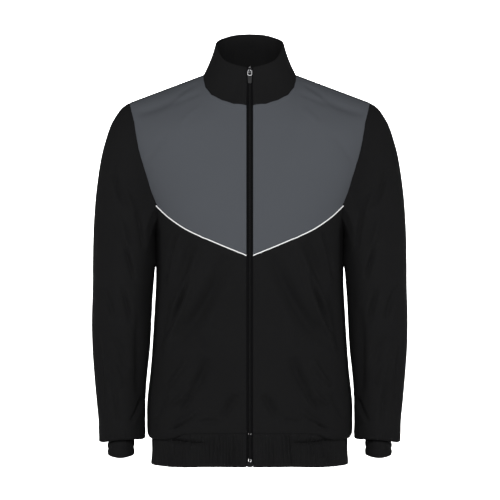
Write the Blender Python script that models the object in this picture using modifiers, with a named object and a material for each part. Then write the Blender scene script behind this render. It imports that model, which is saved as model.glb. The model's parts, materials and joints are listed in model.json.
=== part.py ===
"""Full-zip track jacket, hollow and filled out as when it is worn.

Frame: metres, +Z up.  The front faces -Y and +X is the right of the picture.  The origin is on the
centre line, at the height of the shoulder's neck end, where the wearer's neck is.

The body is one smooth surface.  A place on it has two numbers: its turn (0 at the centre line,
a quarter turn at the side) and how far it lies over the shoulder ridge (negative in front, positive
behind).  Each cut piece is a grid of points on that surface, and is then given its wall.
"""

import math
from typing import NamedTuple

import bmesh
import bpy
import numpy as np
from mathutils import Vector

MM = 0.001
COLLECTION = "track_jacket"
CUTTERS = "construction"

# Cloth and seams
BODY_CLOTH = 1.5 * MM
RIB_CLOTH = 2.5 * MM
TAPE_CLOTH = 1.0 * MM
SEAM_GAP = 0.34 * MM
TAPE_GAP = 0.5 * MM

# Shoulders and neck
NECK_SIDE = 86 * MM
SHOULDER_TIP = 222 * MM
SHOULDER_SLOPE = 0.375
NECK_SLOPE = 0.6
NECK_EASE = 30 * MM
RIDGE_LIFT = 1.7 * MM
SHOULDER_ROUND = 95 * MM
SEAM_AHEAD = 19.5 * MM
BACK_NECK_OVER = 74 * MM
BODY_SQUARENESS = 2.6

# Zip
PANEL_EDGE = 6.2 * MM
CHAIN_HALF = 2.2 * MM
TAPE_INNER = 2.6 * MM
TAPE_OUTER = 13.0 * MM
CHAIN_THICK = 2.0 * MM

# Underarm and hem
UNDERARM_Z = -300 * MM
HEM_CENTRE_Z = -655.5 * MM
HEM_SIDE_Z = -669.5 * MM
HEM_STEP = (112 * MM, 152 * MM)
HEM_TUCK = 9 * MM
BAND_WAIST = 1.5 * MM
GATHER_DEPTH = 1.8 * MM
PLAIN_SIDES = (130 * MM, 165 * MM)
PLAIN_ENDS = (6.2 * MM, 20 * MM)

# Sleeves and cuffs
CUFF_SEAM_Z = -672.5 * MM
CUFF_SEAM_TILT = 2.8 * MM
CUFF_SEAM_ARCH = 4 * MM
CUFF_PLEAT = 1.2 * MM
PLAIN_SLEEVE_FOOT = -640 * MM
CAP_FULLNESS = 0.63
UNDERARM_FULLNESS = 0.22
CAP_SHARES = (0.78, 0.57, 0.37, 0.19, 0.06, 0.0)
CUFF_X = 237.4 * MM
CUFF_Y = -20 * MM
CUFF_HALF_WIDTH = 23.6 * MM
CUFF_HALF_DEPTH = 37 * MM
CUFF_BOTTOM_Z = -700 * MM
CUFF_BOTTOM_ARCH = 4.2 * MM
CUFF_SWELL = 0.7 * MM
CUFF_GATHER = 0.5 * MM

# Collar
COLLAR_SAG = 2 * MM

# Piping and the zip's hard pieces
PIPING_RADIUS = 0.9 * MM
BOX_WIDTH = 11.9 * MM
BOX_THICK = 2.6 * MM
BOX_HEIGHT = 9 * MM
BOX_RISE = 0.6 * MM
BOX_GAP = 0.3 * MM
TAPE_FOOT_RISE = 2 * MM
TAPE_TOP_DROP = 0.5 * MM
CHAIN_TOP_DROP = 2.9 * MM
SLIDER_HEIGHT = 12 * MM
SLIDER_ABOVE = 0.8 * MM
SLIDER_BEVEL = 0.2 * MM
PULL_AXIS_OUT = -1.1 * MM
PULL_AXIS_UP = -1.2 * MM
LOOP_WIRE = 0.7 * MM
LOOP_HALF_WIDTH = 4.2 * MM
LOOP_DROP = 9.9 * MM
LOOP_CORNER = 2.2 * MM
TAB_TOP_HALF = 4.1 * MM
TAB_FOOT_HALF = 3.2 * MM
TAB_LENGTH = 14.5 * MM
TAB_THICK = 2.0 * MM

# How many strips each piece has along its seams
SIDE_ROWS = 9
LOW_ARM_ROWS = 4
YOKE_ARM_ROWS = 8
BACK_ARM_ROWS = LOW_ARM_ROWS + YOKE_ARM_ROWS
NECK_COLUMNS = 6
SHOULDER_COLUMNS = 7
FRONT_COLUMNS = NECK_COLUMNS + SHOULDER_COLUMNS
BACK_NECK_COLUMNS = 4
BACK_COLUMNS = BACK_NECK_COLUMNS + SHOULDER_COLUMNS
SLEEVE_COLUMNS = 2 * BACK_ARM_ROWS
SLEEVE_ROWS = 10
BAND_SPLIT = 4


class TorsoLevel(NamedTuple):
    """Size of the body at one height, in millimetres."""
    z: float
    half_width: float
    front_depth: float
    back_depth: float


class ArmholeLevel(NamedTuple):
    """How far out the armhole seam lies, as a share of the body's half width."""
    z: float
    front_share: float
    back_share: float


class SleeveLevel(NamedTuple):
    """Level ring of the sleeve, in millimetres."""
    z: float
    centre_x: float
    half_width: float
    centre_y: float
    half_depth: float


class Spot(NamedTuple):
    """Place on the front, as seen from ahead, in millimetres."""
    x: float
    z: float


class Rim(NamedTuple):
    """Place on the collar's top edge, in millimetres."""
    x: float
    y: float
    z: float


class Fold(NamedTuple):
    """Soft trough (negative depth) or ridge from one place to another, in millimetres."""
    from_x: float
    from_z: float
    to_x: float
    to_z: float
    bend: float
    width: float
    depth: float


class FootPoint(NamedTuple):
    """Height of the hem band's lower edge at a distance from the centre line, in millimetres."""
    x: float
    z: float


class Tuck(NamedTuple):
    """Rounded turn above a gathered seam: height above the seam and share of the tuck there."""
    rise: float
    share: float


class Block(NamedTuple):
    """Box in the zip's own frame."""
    size: tuple
    centre: tuple


# Two plates, the wedge that holds them apart, and the bridge with its two feet
SLIDER_PARTS = (
    Block((8 * MM, 1.3 * MM, SLIDER_HEIGHT), (0, 1.0 * MM, 0)),
    Block((7 * MM, 1.1 * MM, SLIDER_HEIGHT), (0, 5.6 * MM, 0)),
    Block((4.2 * MM, 5.2 * MM, 2.8 * MM), (0, 3.3 * MM, SLIDER_HEIGHT / 2 - 1.5 * MM)),
    Block((2.2 * MM, 4.2 * MM, 1.0 * MM), (0, -1.2 * MM, -2.9 * MM)),
    Block((2.2 * MM, 4.2 * MM, 1.0 * MM), (0, -1.2 * MM, 3.9 * MM)),
    Block((2.0 * MM, 1.0 * MM, 7.6 * MM), (0, -2.7 * MM, 0.5 * MM)),
)

TORSO = (
    TorsoLevel(60, 250, 74, 96),
    TorsoLevel(0, 250, 80, 99),
    TorsoLevel(-51, 245, 88, 106),
    TorsoLevel(-100, 236, 102, 120),
    TorsoLevel(-150, 222, 114, 130),
    TorsoLevel(-200, 204, 122, 133),
    TorsoLevel(-245, 188, 125, 132),
    TorsoLevel(-275, 178.5, 126, 130),
    TorsoLevel(-300, 174, 126, 128),
    TorsoLevel(-368, 173.4, 126, 124),
    TorsoLevel(-451, 177.1, 125, 119),
    TorsoLevel(-535, 182.7, 124, 118),
    TorsoLevel(-618, 190.1, 123, 120),
    TorsoLevel(-720, 190.1, 122, 120),
)

ARMHOLE = (
    ArmholeLevel(-300, 1.0, 1.0),
    ArmholeLevel(-296, 0.9965, 0.9968),
    ArmholeLevel(-285, 0.979, 0.983),
    ArmholeLevel(-270, 0.944, 0.962),
    ArmholeLevel(-256, 0.912, 0.945),
    ArmholeLevel(-241, 0.898, 0.930),
    ArmholeLevel(-210, 0.911, 0.920),
    ArmholeLevel(-181, 0.904, 0.912),
    ArmholeLevel(-152, 0.904, 0.905),
    ArmholeLevel(-120, 0.896, 0.897),
    ArmholeLevel(-85, 0.890, 0.894),
    ArmholeLevel(-51, 0.906, 0.906),
)

V_SEAM = (Spot(0, -334.5), Spot(66, -307), Spot(117, -283.5), Spot(155, -256), Spot(169, -241))
V_END_Z = -241 * MM

NECKLINE = (Spot(0, -57.8), Spot(30, -55), Spot(51, -48), Spot(68, -39.5), Spot(78.5, -29), Spot(84.5, -15))

COLLAR_TOP = (
    Rim(5, -62, 12.8),
    Rim(30, -60, 19),
    Rim(47, -51, 27.5),
    Rim(57, -35, 41),
    Rim(62, -10, 56),
    Rim(62, 15, 64.5),
    Rim(51, 42, 72.5),
    Rim(28, 58, 79.5),
    Rim(0, 62, 81.7),
)

SLEEVE = (
    SleeveLevel(-345, 231.6, 57.9, -20, 69),
    SleeveLevel(-396, 234.0, 55.9, -19, 67),
    SleeveLevel(-451, 236.2, 55.3, -17, 64),
    SleeveLevel(-507, 237.2, 53.0, -17, 60),
    SleeveLevel(-562, 238.0, 48.0, -18, 56),
    SleeveLevel(-618, 236.6, 44.4, -19, 51),
    SleeveLevel(-655, 235.2, 42.9, -20, 49),
)

BAND_FOOT = (FootPoint(0, -715.5), FootPoint(70, -715.5), FootPoint(140, -717.7), FootPoint(185, -716.3))

HEM_TUCKS = (Tuck(0, 1), Tuck(1.5, 0.66), Tuck(5, 0.32), Tuck(12, 0.06), Tuck(25, 0))
CUFF_TUCKS = (Tuck(-1.0, 0.55), Tuck(-0.9, 0.25), Tuck(1.2, 0.07), Tuck(8, 0))

FRONT_FOLDS = (
    Fold(-133, -289, -155, -366, 4, 9, -4.0),
    Fold(-102, -350, -162, -488, -14, 13, -8.5),
    Fold(-92, -322, -110, -400, -6, 14, 4.5),
    Fold(-126, -420, -152, -520, -5, 14, 4.5),
    Fold(-52, -338, -134, -472, -8, 18, -5.5),
    Fold(-112, -532, -146, -574, 0, 12, 5.0),
    Fold(-96, -612, -134, -650, 0, 12, 4.5),
    Fold(-32, -582, -56, -640, 4, 11, -4.5),
)

BACK_FOLDS = (
    Fold(-150, -310, -118, -440, 8, 12, -5.0),
    Fold(-105, -360, -40, -470, -10, 15, -4.0),
    Fold(-60, -300, -140, -400, 10, 14, 3.0),
    Fold(-30, -560, -95, -640, 6, 12, -4.0),
    Fold(-120, -560, -140, -640, 4, 12, 3.5),
)

SLEEVE_FOLDS = (
    Fold(257, -148, 235, -236, -6, 10, -3.0),
    Fold(240, -180, 212, -272, 4, 12, 2.5),
    Fold(229, -305, 212, -376, 4, 11, -3.5),
    Fold(233, -384, 216, -452, 0, 11, -3.0),
    Fold(250, -450, 215, -520, 6, 13, -3.5),
    Fold(262, -520, 236, -575, 4, 12, -3.0),
    Fold(198, -596, 216, -636, 0, 9, -6.0),
    Fold(262, -590, 245, -640, 3, 10, -3.0),
)


class Finish(NamedTuple):
    """Look of one material."""
    colour: tuple
    roughness: float
    metallic: float


FINISHES = {
    "black_knit": Finish((0.011, 0.011, 0.012), 0.85, 0.0),
    "grey_knit": Finish((0.085, 0.094, 0.108), 0.85, 0.0),
    "white_piping": Finish((0.75, 0.75, 0.76), 0.6, 0.0),
    "zip_tape": Finish((0.010, 0.010, 0.011), 0.8, 0.0),
    "zip_coil": Finish((0.014, 0.014, 0.015), 0.45, 0.0),
    "bright_metal": Finish((0.62, 0.62, 0.63), 0.25, 1.0),
    "grey_moulding": Finish((0.053, 0.053, 0.055), 0.5, 0.0),
}


def column(table, name):
    """One column of a table, in metres."""
    return np.array([getattr(row, name) for row in table]) * MM


def smooth_through(knots, values, at):
    """Cubic through a table that keeps its rises and falls, level past both ends."""
    order = np.argsort(knots)
    knot = np.asarray(knots)[order]
    value = np.asarray(values)[order]
    step = np.diff(knot)
    slope = np.diff(value) / step
    tangent = np.zeros_like(value)
    product = slope[1:] * slope[:-1]
    total = slope[1:] + slope[:-1]
    safe = np.where(product > 0, total, 1.0)
    tangent[1:-1] = np.where(product > 0, 2 * product / safe, 0.0)
    where = np.clip(at, knot[0], knot[-1])
    cell = np.clip(np.searchsorted(knot, where, side="right") - 1, 0, len(step) - 1)
    t = (where - knot[cell]) / step[cell]
    return (value[cell] * (1 + 2 * t) * (1 - t) ** 2
            + tangent[cell] * step[cell] * t * (1 - t) ** 2
            + value[cell + 1] * t ** 2 * (3 - 2 * t)
            + tangent[cell + 1] * step[cell] * t ** 2 * (t - 1))


def rounded_path(points, count):
    """Dense smooth path through a few points (Catmull-Rom on their chord lengths)."""
    pts = np.asarray(points, float)
    ends = np.vstack([2 * pts[0] - pts[1], pts, 2 * pts[-1] - pts[-2]])
    lengths = np.sqrt(np.linalg.norm(np.diff(ends, axis=0), axis=1))
    knot = np.concatenate([[0], np.cumsum(lengths)])
    path = []
    for t in np.linspace(knot[1], knot[-2], count):
        i = int(np.clip(np.searchsorted(knot, t, side="right") - 1, 1, len(pts) - 1))
        a, b, c, d = ends[i - 1:i + 3]
        ta, tb, tc, td = knot[i - 1:i + 3]
        ab = a + (b - a) * (t - ta) / (tb - ta)
        bc = b + (c - b) * (t - tb) / (tc - tb)
        cd = c + (d - c) * (t - tc) / (td - tc)
        abc = ab + (bc - ab) * (t - ta) / (tc - ta)
        bcd = bc + (cd - bc) * (t - tb) / (td - tb)
        path.append(abc + (bcd - abc) * (t - tb) / (tc - tb))
    return np.array(path)


def smooth_step(value, low, high):
    """0 below low, 1 above high, and a soft rise between them."""
    t = np.clip((value - low) / (high - low), 0, 1)
    return t * t * (3 - 2 * t)


def unit(vectors):
    """Vectors of length one."""
    return vectors / np.linalg.norm(vectors, axis=-1, keepdims=True)


# ---------------------------------------------------------------- the body's surface

def half_width(z):
    return smooth_through(column(TORSO, "z"), column(TORSO, "half_width"), z)


def front_depth(z):
    return smooth_through(column(TORSO, "z"), column(TORSO, "front_depth"), z)


def back_depth(z):
    return smooth_through(column(TORSO, "z"), column(TORSO, "back_depth"), z)


def ridge_height(x):
    """Height of the shoulder ridge, which falls outwards, and is round at the centre line."""
    beside_neck = math.hypot(NECK_SIDE, NECK_EASE) - np.hypot(x, NECK_EASE)
    outwards = (NECK_SIDE - x) * SHOULDER_SLOPE
    return RIDGE_LIFT + np.where(x > NECK_SIDE, outwards, beside_neck * NECK_SLOPE)


def fold_depth(folds, x, z):
    """How far the folds move the cloth out (or in, if negative) at a place seen from ahead."""
    moved = np.zeros(np.broadcast(x, z).shape)
    for fold in folds:
        start = np.array([fold.from_x, fold.from_z]) * MM
        run = np.array([fold.to_x, fold.to_z]) * MM - start
        length = np.hypot(*run)
        along = ((x - start[0]) * run[0] + (z - start[1]) * run[1]) / length ** 2
        aside = ((x - start[0]) * run[1] - (z - start[1]) * run[0]) / length
        t = np.clip(along, 0, 1)
        aside = aside - fold.bend * MM * 4 * t * (1 - t)
        fade = np.maximum(0, 1 - (2 * along - 1) ** 2) ** 0.75
        moved = moved + fold.depth * MM * fade * np.exp(-(aside / (fold.width * MM)) ** 2)
    return moved


def plain_body(turn, over):
    """Body surface without folds."""
    size = (np.abs(np.cos(turn)) ** BODY_SQUARENESS
            + np.abs(np.sin(turn)) ** BODY_SQUARENESS) ** (-1 / BODY_SQUARENESS)
    side = size * np.sin(turn)
    face = size * np.cos(turn)
    angle = np.clip(np.abs(over) / SHOULDER_ROUND, 0, np.pi / 2)
    straight = np.maximum(np.abs(over) - SHOULDER_ROUND * np.pi / 2, 0)
    drop = SHOULDER_ROUND * (1 - np.cos(angle)) + straight
    x = half_width(-drop) * side
    for _ in range(14):
        x = half_width(ridge_height(x) - drop) * side
    z = ridge_height(x) - drop
    depth = np.where(over < 0, front_depth(z), back_depth(z))
    y = depth * face * np.sign(over) * np.sin(angle)
    return np.stack([x, y, z], axis=-1)


def hem_height(x, facing):
    """Height of the hem seam, which rises in the middle of the front."""
    drop = smooth_step(np.abs(x), *HEM_STEP) if facing < 0 else 1.0
    return HEM_CENTRE_Z + (HEM_SIDE_Z - HEM_CENTRE_Z) * drop


def body_normal(turn, over):
    """Outward normal of the plain body surface."""
    small_turn = 1e-3
    small_over = 1e-4
    across = plain_body(turn + small_turn, over) - plain_body(turn - small_turn, over)
    along = plain_body(turn, over + small_over) - plain_body(turn, over - small_over)
    return unit(np.cross(across, along))


def body(turn, over):
    """Outside of the body cloth, with its folds and the tuck above the hem band."""
    turn = np.asarray(turn, float)
    over = np.asarray(over, float)
    plain = plain_body(turn, over)
    x, z = plain[..., 0], plain[..., 2]
    away = -np.abs(x)
    folds = np.where(over < 0, fold_depth(FRONT_FOLDS, away, z), fold_depth(BACK_FOLDS, away, z))
    hem = np.where(over < 0, hem_height(x, -1), hem_height(x, 1))
    amount = np.where(over < 0, smooth_step(np.abs(x), *HEM_STEP), 1.0)
    rise = z - hem
    tuck = np.interp(rise, column(HEM_TUCKS, "rise"), [row.share for row in HEM_TUCKS])
    folds = folds * smooth_step(rise, 0, 0.02)
    return plain + body_normal(turn, over) * (folds - HEM_TUCK * amount * tuck)[..., None]


def place_share(share, z, facing):
    """Turn and over of a place given as a share of the half width at a height."""
    share = np.minimum(share, 1)
    x = half_width(z) * share
    drop = ridge_height(x) - z
    bent = SHOULDER_ROUND * np.arccos(np.clip(1 - drop / SHOULDER_ROUND, -1, 1))
    straight = SHOULDER_ROUND * (np.pi / 2 - 1) + drop
    over = facing * np.where(drop < SHOULDER_ROUND, bent, straight)
    face = np.maximum(1 - share ** BODY_SQUARENESS, 0) ** (1 / BODY_SQUARENESS)
    return np.stack([np.arctan2(share, face), over], axis=-1)


def place(x, z, facing):
    """Turn and over of a place given as seen from ahead."""
    return place_share(x / half_width(z), z, facing)


def on_seam_line(x):
    """Turn and over of the shoulder seam, which lies just ahead of the ridge."""
    drop = SHOULDER_ROUND * (1 - math.cos(SEAM_AHEAD / SHOULDER_ROUND))
    places = place(x, ridge_height(x) - drop, -1)
    places[..., 1] = -SEAM_AHEAD
    return places


def even_steps(places, count):
    """The same path in equal steps of cloth."""
    points = plain_body(places[:, 0], places[:, 1])
    run = np.concatenate([[0], np.cumsum(np.linalg.norm(np.diff(points, axis=0), axis=1))])
    wanted = np.linspace(0, run[-1], count + 1)
    return np.stack([np.interp(wanted, run, places[:, 0]), np.interp(wanted, run, places[:, 1])], axis=-1)


def spread_share(places):
    """Share of a seam's length that lies before each of its points."""
    points = plain_body(places[:, 0], places[:, 1])
    run = np.concatenate([[0], np.cumsum(np.linalg.norm(np.diff(points, axis=0), axis=1))])
    return run / run[-1]


def fill(bottom, top, left, right):
    """Grid of places between four edges (a Coons patch), rows upwards."""
    v = (0.5 * (spread_share(left) + spread_share(right)))[:, None, None]
    u = (0.5 * (spread_share(bottom) + spread_share(top)))[None, :, None]
    ruled = (1 - v) * bottom[None] + v * top[None] + (1 - u) * left[:, None] + u * right[:, None]
    corners = ((1 - u) * (1 - v) * bottom[0] + u * (1 - v) * bottom[-1]
               + (1 - u) * v * top[0] + u * v * top[-1])
    return ruled - corners


# ---------------------------------------------------------------- seams

def armhole(facing, low, high, count):
    """Armhole seam between two heights, upwards."""
    z = low + (high - low) * smooth_step(np.linspace(0, 1, 400), 0, 1)
    name = "front_share" if facing < 0 else "back_share"
    shares = np.array([getattr(row, name) for row in ARMHOLE])
    places = place_share(smooth_through(column(ARMHOLE, "z"), shares, z), z, facing)
    if high > V_END_Z:
        places = np.vstack([places, on_seam_line(np.array([SHOULDER_TIP]))])
    return even_steps(places, count)


def shoulder_seam():
    """Shoulder seam, from the neck outwards."""
    return even_steps(on_seam_line(np.linspace(NECK_SIDE, SHOULDER_TIP, 60)), SHOULDER_COLUMNS)


def front_neckline():
    """Front neckline, from the zip to the shoulder seam."""
    path = rounded_path(NECKLINE, 120) * MM
    places = place(path[:, 0], path[:, 1], -1)
    places = np.vstack([places, on_seam_line(np.array([NECK_SIDE]))])
    ahead = plain_body(places[:, 0], places[:, 1])[:, 0] > PANEL_EDGE
    start = at_zip(path[:1, 1])
    return even_steps(np.vstack([start, places[ahead]]), NECK_COLUMNS)


def back_neckline():
    """Back neckline, from the centre back to the shoulder seam."""
    angle = np.linspace(np.pi / 2, 0, 80)
    over = -SEAM_AHEAD + (BACK_NECK_OVER + SEAM_AHEAD) * np.sin(angle)
    x = NECK_SIDE * np.cos(angle)
    bend = np.clip(np.abs(over) / SHOULDER_ROUND, 0, np.pi / 2)
    z = ridge_height(x) - SHOULDER_ROUND * (1 - np.cos(bend))
    places = place(x, z, 1)
    places[:, 1] = over
    places[-1] = on_seam_line(np.array([NECK_SIDE]))[0]
    return even_steps(places, BACK_NECK_COLUMNS)


def at_zip(z):
    """Turn and over of the front panels' zip edge."""
    return place(np.full_like(z, PANEL_EDGE), z, -1)


def v_seam():
    """V seam between the front and its yoke, from the zip to the armhole."""
    path = rounded_path(V_SEAM, 200) * MM
    start = at_zip(np.interp([PANEL_EDGE], path[:, 0], path[:, 1]))
    places = place(path[:, 0], path[:, 1], -1)
    ahead = path[:, 0] > PANEL_EDGE
    end = armhole(-1, UNDERARM_Z, V_END_Z, LOW_ARM_ROWS)[-1:]
    return even_steps(np.vstack([start, places[ahead][:-1], end]), FRONT_COLUMNS)


def hem_seam(facing, count):
    """Hem seam from the centre (or the zip) to the side."""
    turn = np.linspace(0, np.pi / 2, 300)
    over = np.full_like(turn, facing * 0.7)
    for _ in range(6):
        point = plain_body(turn, over)
        over = over + facing * (point[:, 2] - hem_height(point[:, 0], facing))
    places = np.stack([turn, over], axis=-1)
    if facing < 0:
        start = at_zip(np.array([HEM_CENTRE_Z]))
        places = np.vstack([start, places[turn > start[0, 0]]])
    return even_steps(places, count)


def rise_from_hem(bottom, top, count):
    """Heights of an edge from the hem up: the tuck's rows, then equal rows."""
    low = plain_body(*bottom)[2]
    high = plain_body(*top)[2]
    tucks = low + column(HEM_TUCKS, "rise")
    return np.concatenate([tucks, np.linspace(tucks[-1], high, count + 1)[1:]])


def side_seam(facing):
    """Side seam from the hem to the underarm."""
    bottom = hem_seam(facing, 4)[-1]
    top = place_share(np.array([1.0]), np.array([UNDERARM_Z]), facing)[0]
    z = rise_from_hem(bottom, top, SIDE_ROWS)
    places = place_share(np.ones_like(z), z, facing)
    places[:, 0] = np.pi / 2
    return places


def zip_edge_below():
    """Zip edge of the front, from the hem to the V seam."""
    top = v_seam()[0]
    bottom = at_zip(np.array([HEM_CENTRE_Z]))[0]
    return at_zip(rise_from_hem(bottom, top, SIDE_ROWS + LOW_ARM_ROWS))


def zip_edge_yoke():
    """Zip edge of the yoke, from the V seam to the neckline."""
    low = plain_body(*v_seam()[0])[2]
    high = plain_body(*front_neckline()[0])[2]
    return at_zip(np.linspace(low, high, YOKE_ARM_ROWS + 1))


def centre_back():
    """Centre back line from the hem to the neckline."""
    bottom = hem_seam(1, BACK_COLUMNS)[0]
    top = back_neckline()[0]
    tuck_over = bottom[1] - column(HEM_TUCKS, "rise")
    rest = np.linspace(tuck_over[-1], top[1], SIDE_ROWS + BACK_ARM_ROWS + 1)[1:]
    over = np.concatenate([tuck_over, rest])
    return np.stack([np.zeros_like(over), over], axis=-1)


# ---------------------------------------------------------------- grids of the cut pieces

def front_places():
    low_arm = armhole(-1, UNDERARM_Z, V_END_Z, LOW_ARM_ROWS)
    right = np.vstack([side_seam(-1), low_arm[1:]])
    return fill(hem_seam(-1, FRONT_COLUMNS), v_seam(), zip_edge_below(), right)


def yoke_places():
    top = np.vstack([front_neckline(), shoulder_seam()[1:]])
    right = armhole(-1, V_END_Z, -51 * MM, YOKE_ARM_ROWS)
    right[0] = v_seam()[-1]
    return fill(v_seam(), top, zip_edge_yoke(), right)


def back_places():
    """Right half of the back, columns from the centre back to the side."""
    top = np.vstack([back_neckline(), shoulder_seam()[1:]])
    arm = armhole(1, UNDERARM_Z, -51 * MM, BACK_ARM_ROWS)
    side = side_seam(1)
    right = np.vstack([side, arm[1:]])
    return fill(hem_seam(1, BACK_COLUMNS), top, centre_back(), right)


def mirrored(grid):
    """The same grid on the other side, with its columns turned round to keep it facing out."""
    return grid[:, ::-1] * np.array([-1, 1, 1])


def sleeve_ring(z):
    """Level ring of the sleeve, from the inner side round the front."""
    angle = np.linspace(0, 2 * np.pi, SLEEVE_COLUMNS, endpoint=False)
    level = np.full_like(angle, z)
    size = {name: smooth_through(column(SLEEVE, "z"), column(SLEEVE, name), level)
            for name in ("centre_x", "half_width", "centre_y", "half_depth")}
    x = size["centre_x"] - size["half_width"] * np.cos(angle)
    y = size["centre_y"] - size["half_depth"] * np.sin(angle)
    return np.stack([x, y, level], axis=-1)


def cuff_seam():
    """Seam between the sleeve and its cuff: lower on the outer side, arched in front and behind."""
    angle = np.linspace(0, 2 * np.pi, SLEEVE_COLUMNS, endpoint=False)
    x = CUFF_X - CUFF_HALF_WIDTH * np.cos(angle)
    y = CUFF_Y - CUFF_HALF_DEPTH * np.sin(angle)
    z = CUFF_SEAM_Z + CUFF_SEAM_TILT * np.cos(angle) + CUFF_SEAM_ARCH * np.sin(angle) ** 2
    return np.stack([x, y, z], axis=-1)


def armhole_ring(front, yoke, back):
    """Armhole seam as the sleeve meets it: up the front, over the shoulder, down the back."""
    low = front[-LOW_ARM_ROWS - 1:, -1]
    up = yoke[1:, -1]
    down = back[-BACK_ARM_ROWS - 1:, 0][::-1]
    return np.vstack([low, up, down[1:-1]])


def sleeve_grid(seam_ring):
    """Outside of the sleeve, rows from the cuff seam up to the armhole."""
    angle = np.linspace(0, 2 * np.pi, SLEEVE_COLUMNS, endpoint=False)
    tight = cuff_seam()
    rows = [tight]
    pleat = np.where(np.arange(SLEEVE_COLUMNS) % 2, 1.0, -1.0)[:, None]
    for tuck in CUFF_TUCKS:
        full = sleeve_ring(SLEEVE[-1].z * MM)
        ring = full + (tight - full) * tuck.share
        ring[:, 2] = tight[:, 2] + tuck.rise * MM
        middle = np.array([CUFF_X, CUFF_Y, 0])
        away = unit((ring - middle) * np.array([1, 1, 0]))
        rows.append(ring + away * pleat * CUFF_PLEAT * (tuck.share + 0.1))
    for z in np.linspace(PLAIN_SLEEVE_FOOT, SLEEVE[0].z * MM, SLEEVE_ROWS):
        rows.append(sleeve_ring(z))
    top = sleeve_ring(SLEEVE[0].z * MM)
    reach = np.linalg.norm(top - seam_ring, axis=1)[:, None]
    side = np.sin(angle) ** 2
    out = 1 - 0.4 * side
    down = 0.375 - 0.075 * np.cos(angle) + 0.43 * side
    fullness = UNDERARM_FULLNESS + (CAP_FULLNESS - UNDERARM_FULLNESS) * smooth_step(-np.cos(angle), -1, 0)
    start = unit(np.stack([out, 0 * side, -down], axis=-1)) * reach * fullness[:, None]
    below = sleeve_ring((SLEEVE[0].z - 10) * MM)
    end = unit(below - top) * reach
    for t in CAP_SHARES:
        rows.append((1 + 2 * t) * (1 - t) ** 2 * seam_ring + t * (1 - t) ** 2 * start
                    + t * t * (3 - 2 * t) * top + t * t * (t - 1) * end)
    return np.array(rows)


def creased_sleeve(grid):
    """Sleeve with its folds; the seams at both ends stay as they are."""
    outward = grid_normals(grid, closed=True)
    depth = fold_depth(SLEEVE_FOLDS, grid[..., 0], grid[..., 2])
    depth[:3] = 0
    depth[-2:] = 0
    return grid + outward * depth[..., None]


def collar_grid(neck):
    """Outside of the collar: the neckline's points, each span cut in two, up to the top edge."""
    base = split_columns(neck[None], 2)[0]
    half = rounded_path(COLLAR_TOP, 200) * MM
    loop = np.vstack([half, mirrored(half[None])[0][1:]])
    run = np.concatenate([[0], np.cumsum(np.linalg.norm(np.diff(loop, axis=0), axis=1))])
    along = np.concatenate([[0], np.cumsum(np.linalg.norm(np.diff(base, axis=0), axis=1))])
    wanted = along / along[-1] * run[-1]
    top = np.stack([np.interp(wanted, run, loop[:, k]) for k in range(3)], axis=-1)
    rise = np.linspace(0, 1, 5)[:, None, None]
    inward = -unit(base * np.array([1, 1, 0]))
    return base + (top - base) * rise + inward * COLLAR_SAG * np.sin(np.pi * rise)


def split_columns(grid, parts):
    """Grid with every span between two columns cut into equal parts."""
    pieces = []
    for part in range(parts):
        pieces.append(grid[:, :-1] + (grid[:, 1:] - grid[:, :-1]) * part / parts)
    finer = np.stack(pieces, axis=2).reshape(grid.shape[0], -1, grid.shape[2])
    return np.concatenate([finer, grid[:, -1:]], axis=1)


# ---------------------------------------------------------------- walls

def grid_normals(grid, closed):
    """Outward normals of a grid, weighted by the area of the faces round each point."""
    return unit(summed_normals(grid, closed))


def summed_normals(grid, closed):
    cells = np.concatenate([grid, grid[:, :1]], axis=1) if closed else grid
    faces = np.cross(cells[1:, 1:] - cells[:-1, :-1], cells[1:, :-1] - cells[:-1, 1:])
    total = np.zeros_like(cells)
    total[:-1, :-1] += faces
    total[1:, :-1] += faces
    total[:-1, 1:] += faces
    total[1:, 1:] += faces
    if closed:
        total[:, 0] += total[:, -1]
        total = total[:, :-1]
    return total


class Garment:
    """All cut pieces together, so that pieces which meet share the normals of their seam."""

    def __init__(self):
        self.grids = {}
        self.closed = {}
        self.sums = {}
        self.fixed = {}

    def add(self, name, grid, closed=False):
        self.grids[name] = grid
        self.closed[name] = closed
        for point, normal in zip(grid.reshape(-1, 3), summed_normals(grid, closed).reshape(-1, 3)):
            key = self.key(point)
            self.sums[key] = self.sums.get(key, 0) + normal

    @staticmethod
    def key(point):
        return tuple(int(round(value * 1e6)) for value in point)

    def fix(self, points, normals):
        """Sets the mitre of a seam whose two sides turn sharply."""
        for point, normal in zip(points, normals):
            self.fixed[self.key(point)] = normal

    def normals(self, name):
        """Outward direction at each point, longer than one on a sharp mitre."""
        grid = self.grids[name]
        found = []
        for point in grid.reshape(-1, 3):
            key = self.key(point)
            found.append(self.fixed[key] if key in self.fixed else unit(self.sums[key]))
        return np.array(found).reshape(grid.shape)


def edge_run(path, closed):
    """Directions along an edge."""
    if closed:
        return unit(np.roll(path, -1, axis=0) - np.roll(path, 1, axis=0))
    return unit(np.gradient(path, axis=0))


def drawn_back(grid, closed, facing):
    """Grid with its edges drawn back squarely by half a seam gap; facing is its outward side."""
    result = grid.copy()
    half = SEAM_GAP / 2
    result[0] += unit(np.cross(facing[0], edge_run(grid[0], closed))) * half
    result[-1] -= unit(np.cross(facing[-1], edge_run(grid[-1], closed))) * half
    if not closed:
        result[:, 0] += unit(np.cross(edge_run(grid[:, 0], False), facing[:, 0])) * half
        result[:, -1] -= unit(np.cross(edge_run(grid[:, -1], False), facing[:, -1])) * half
    return result


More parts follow.
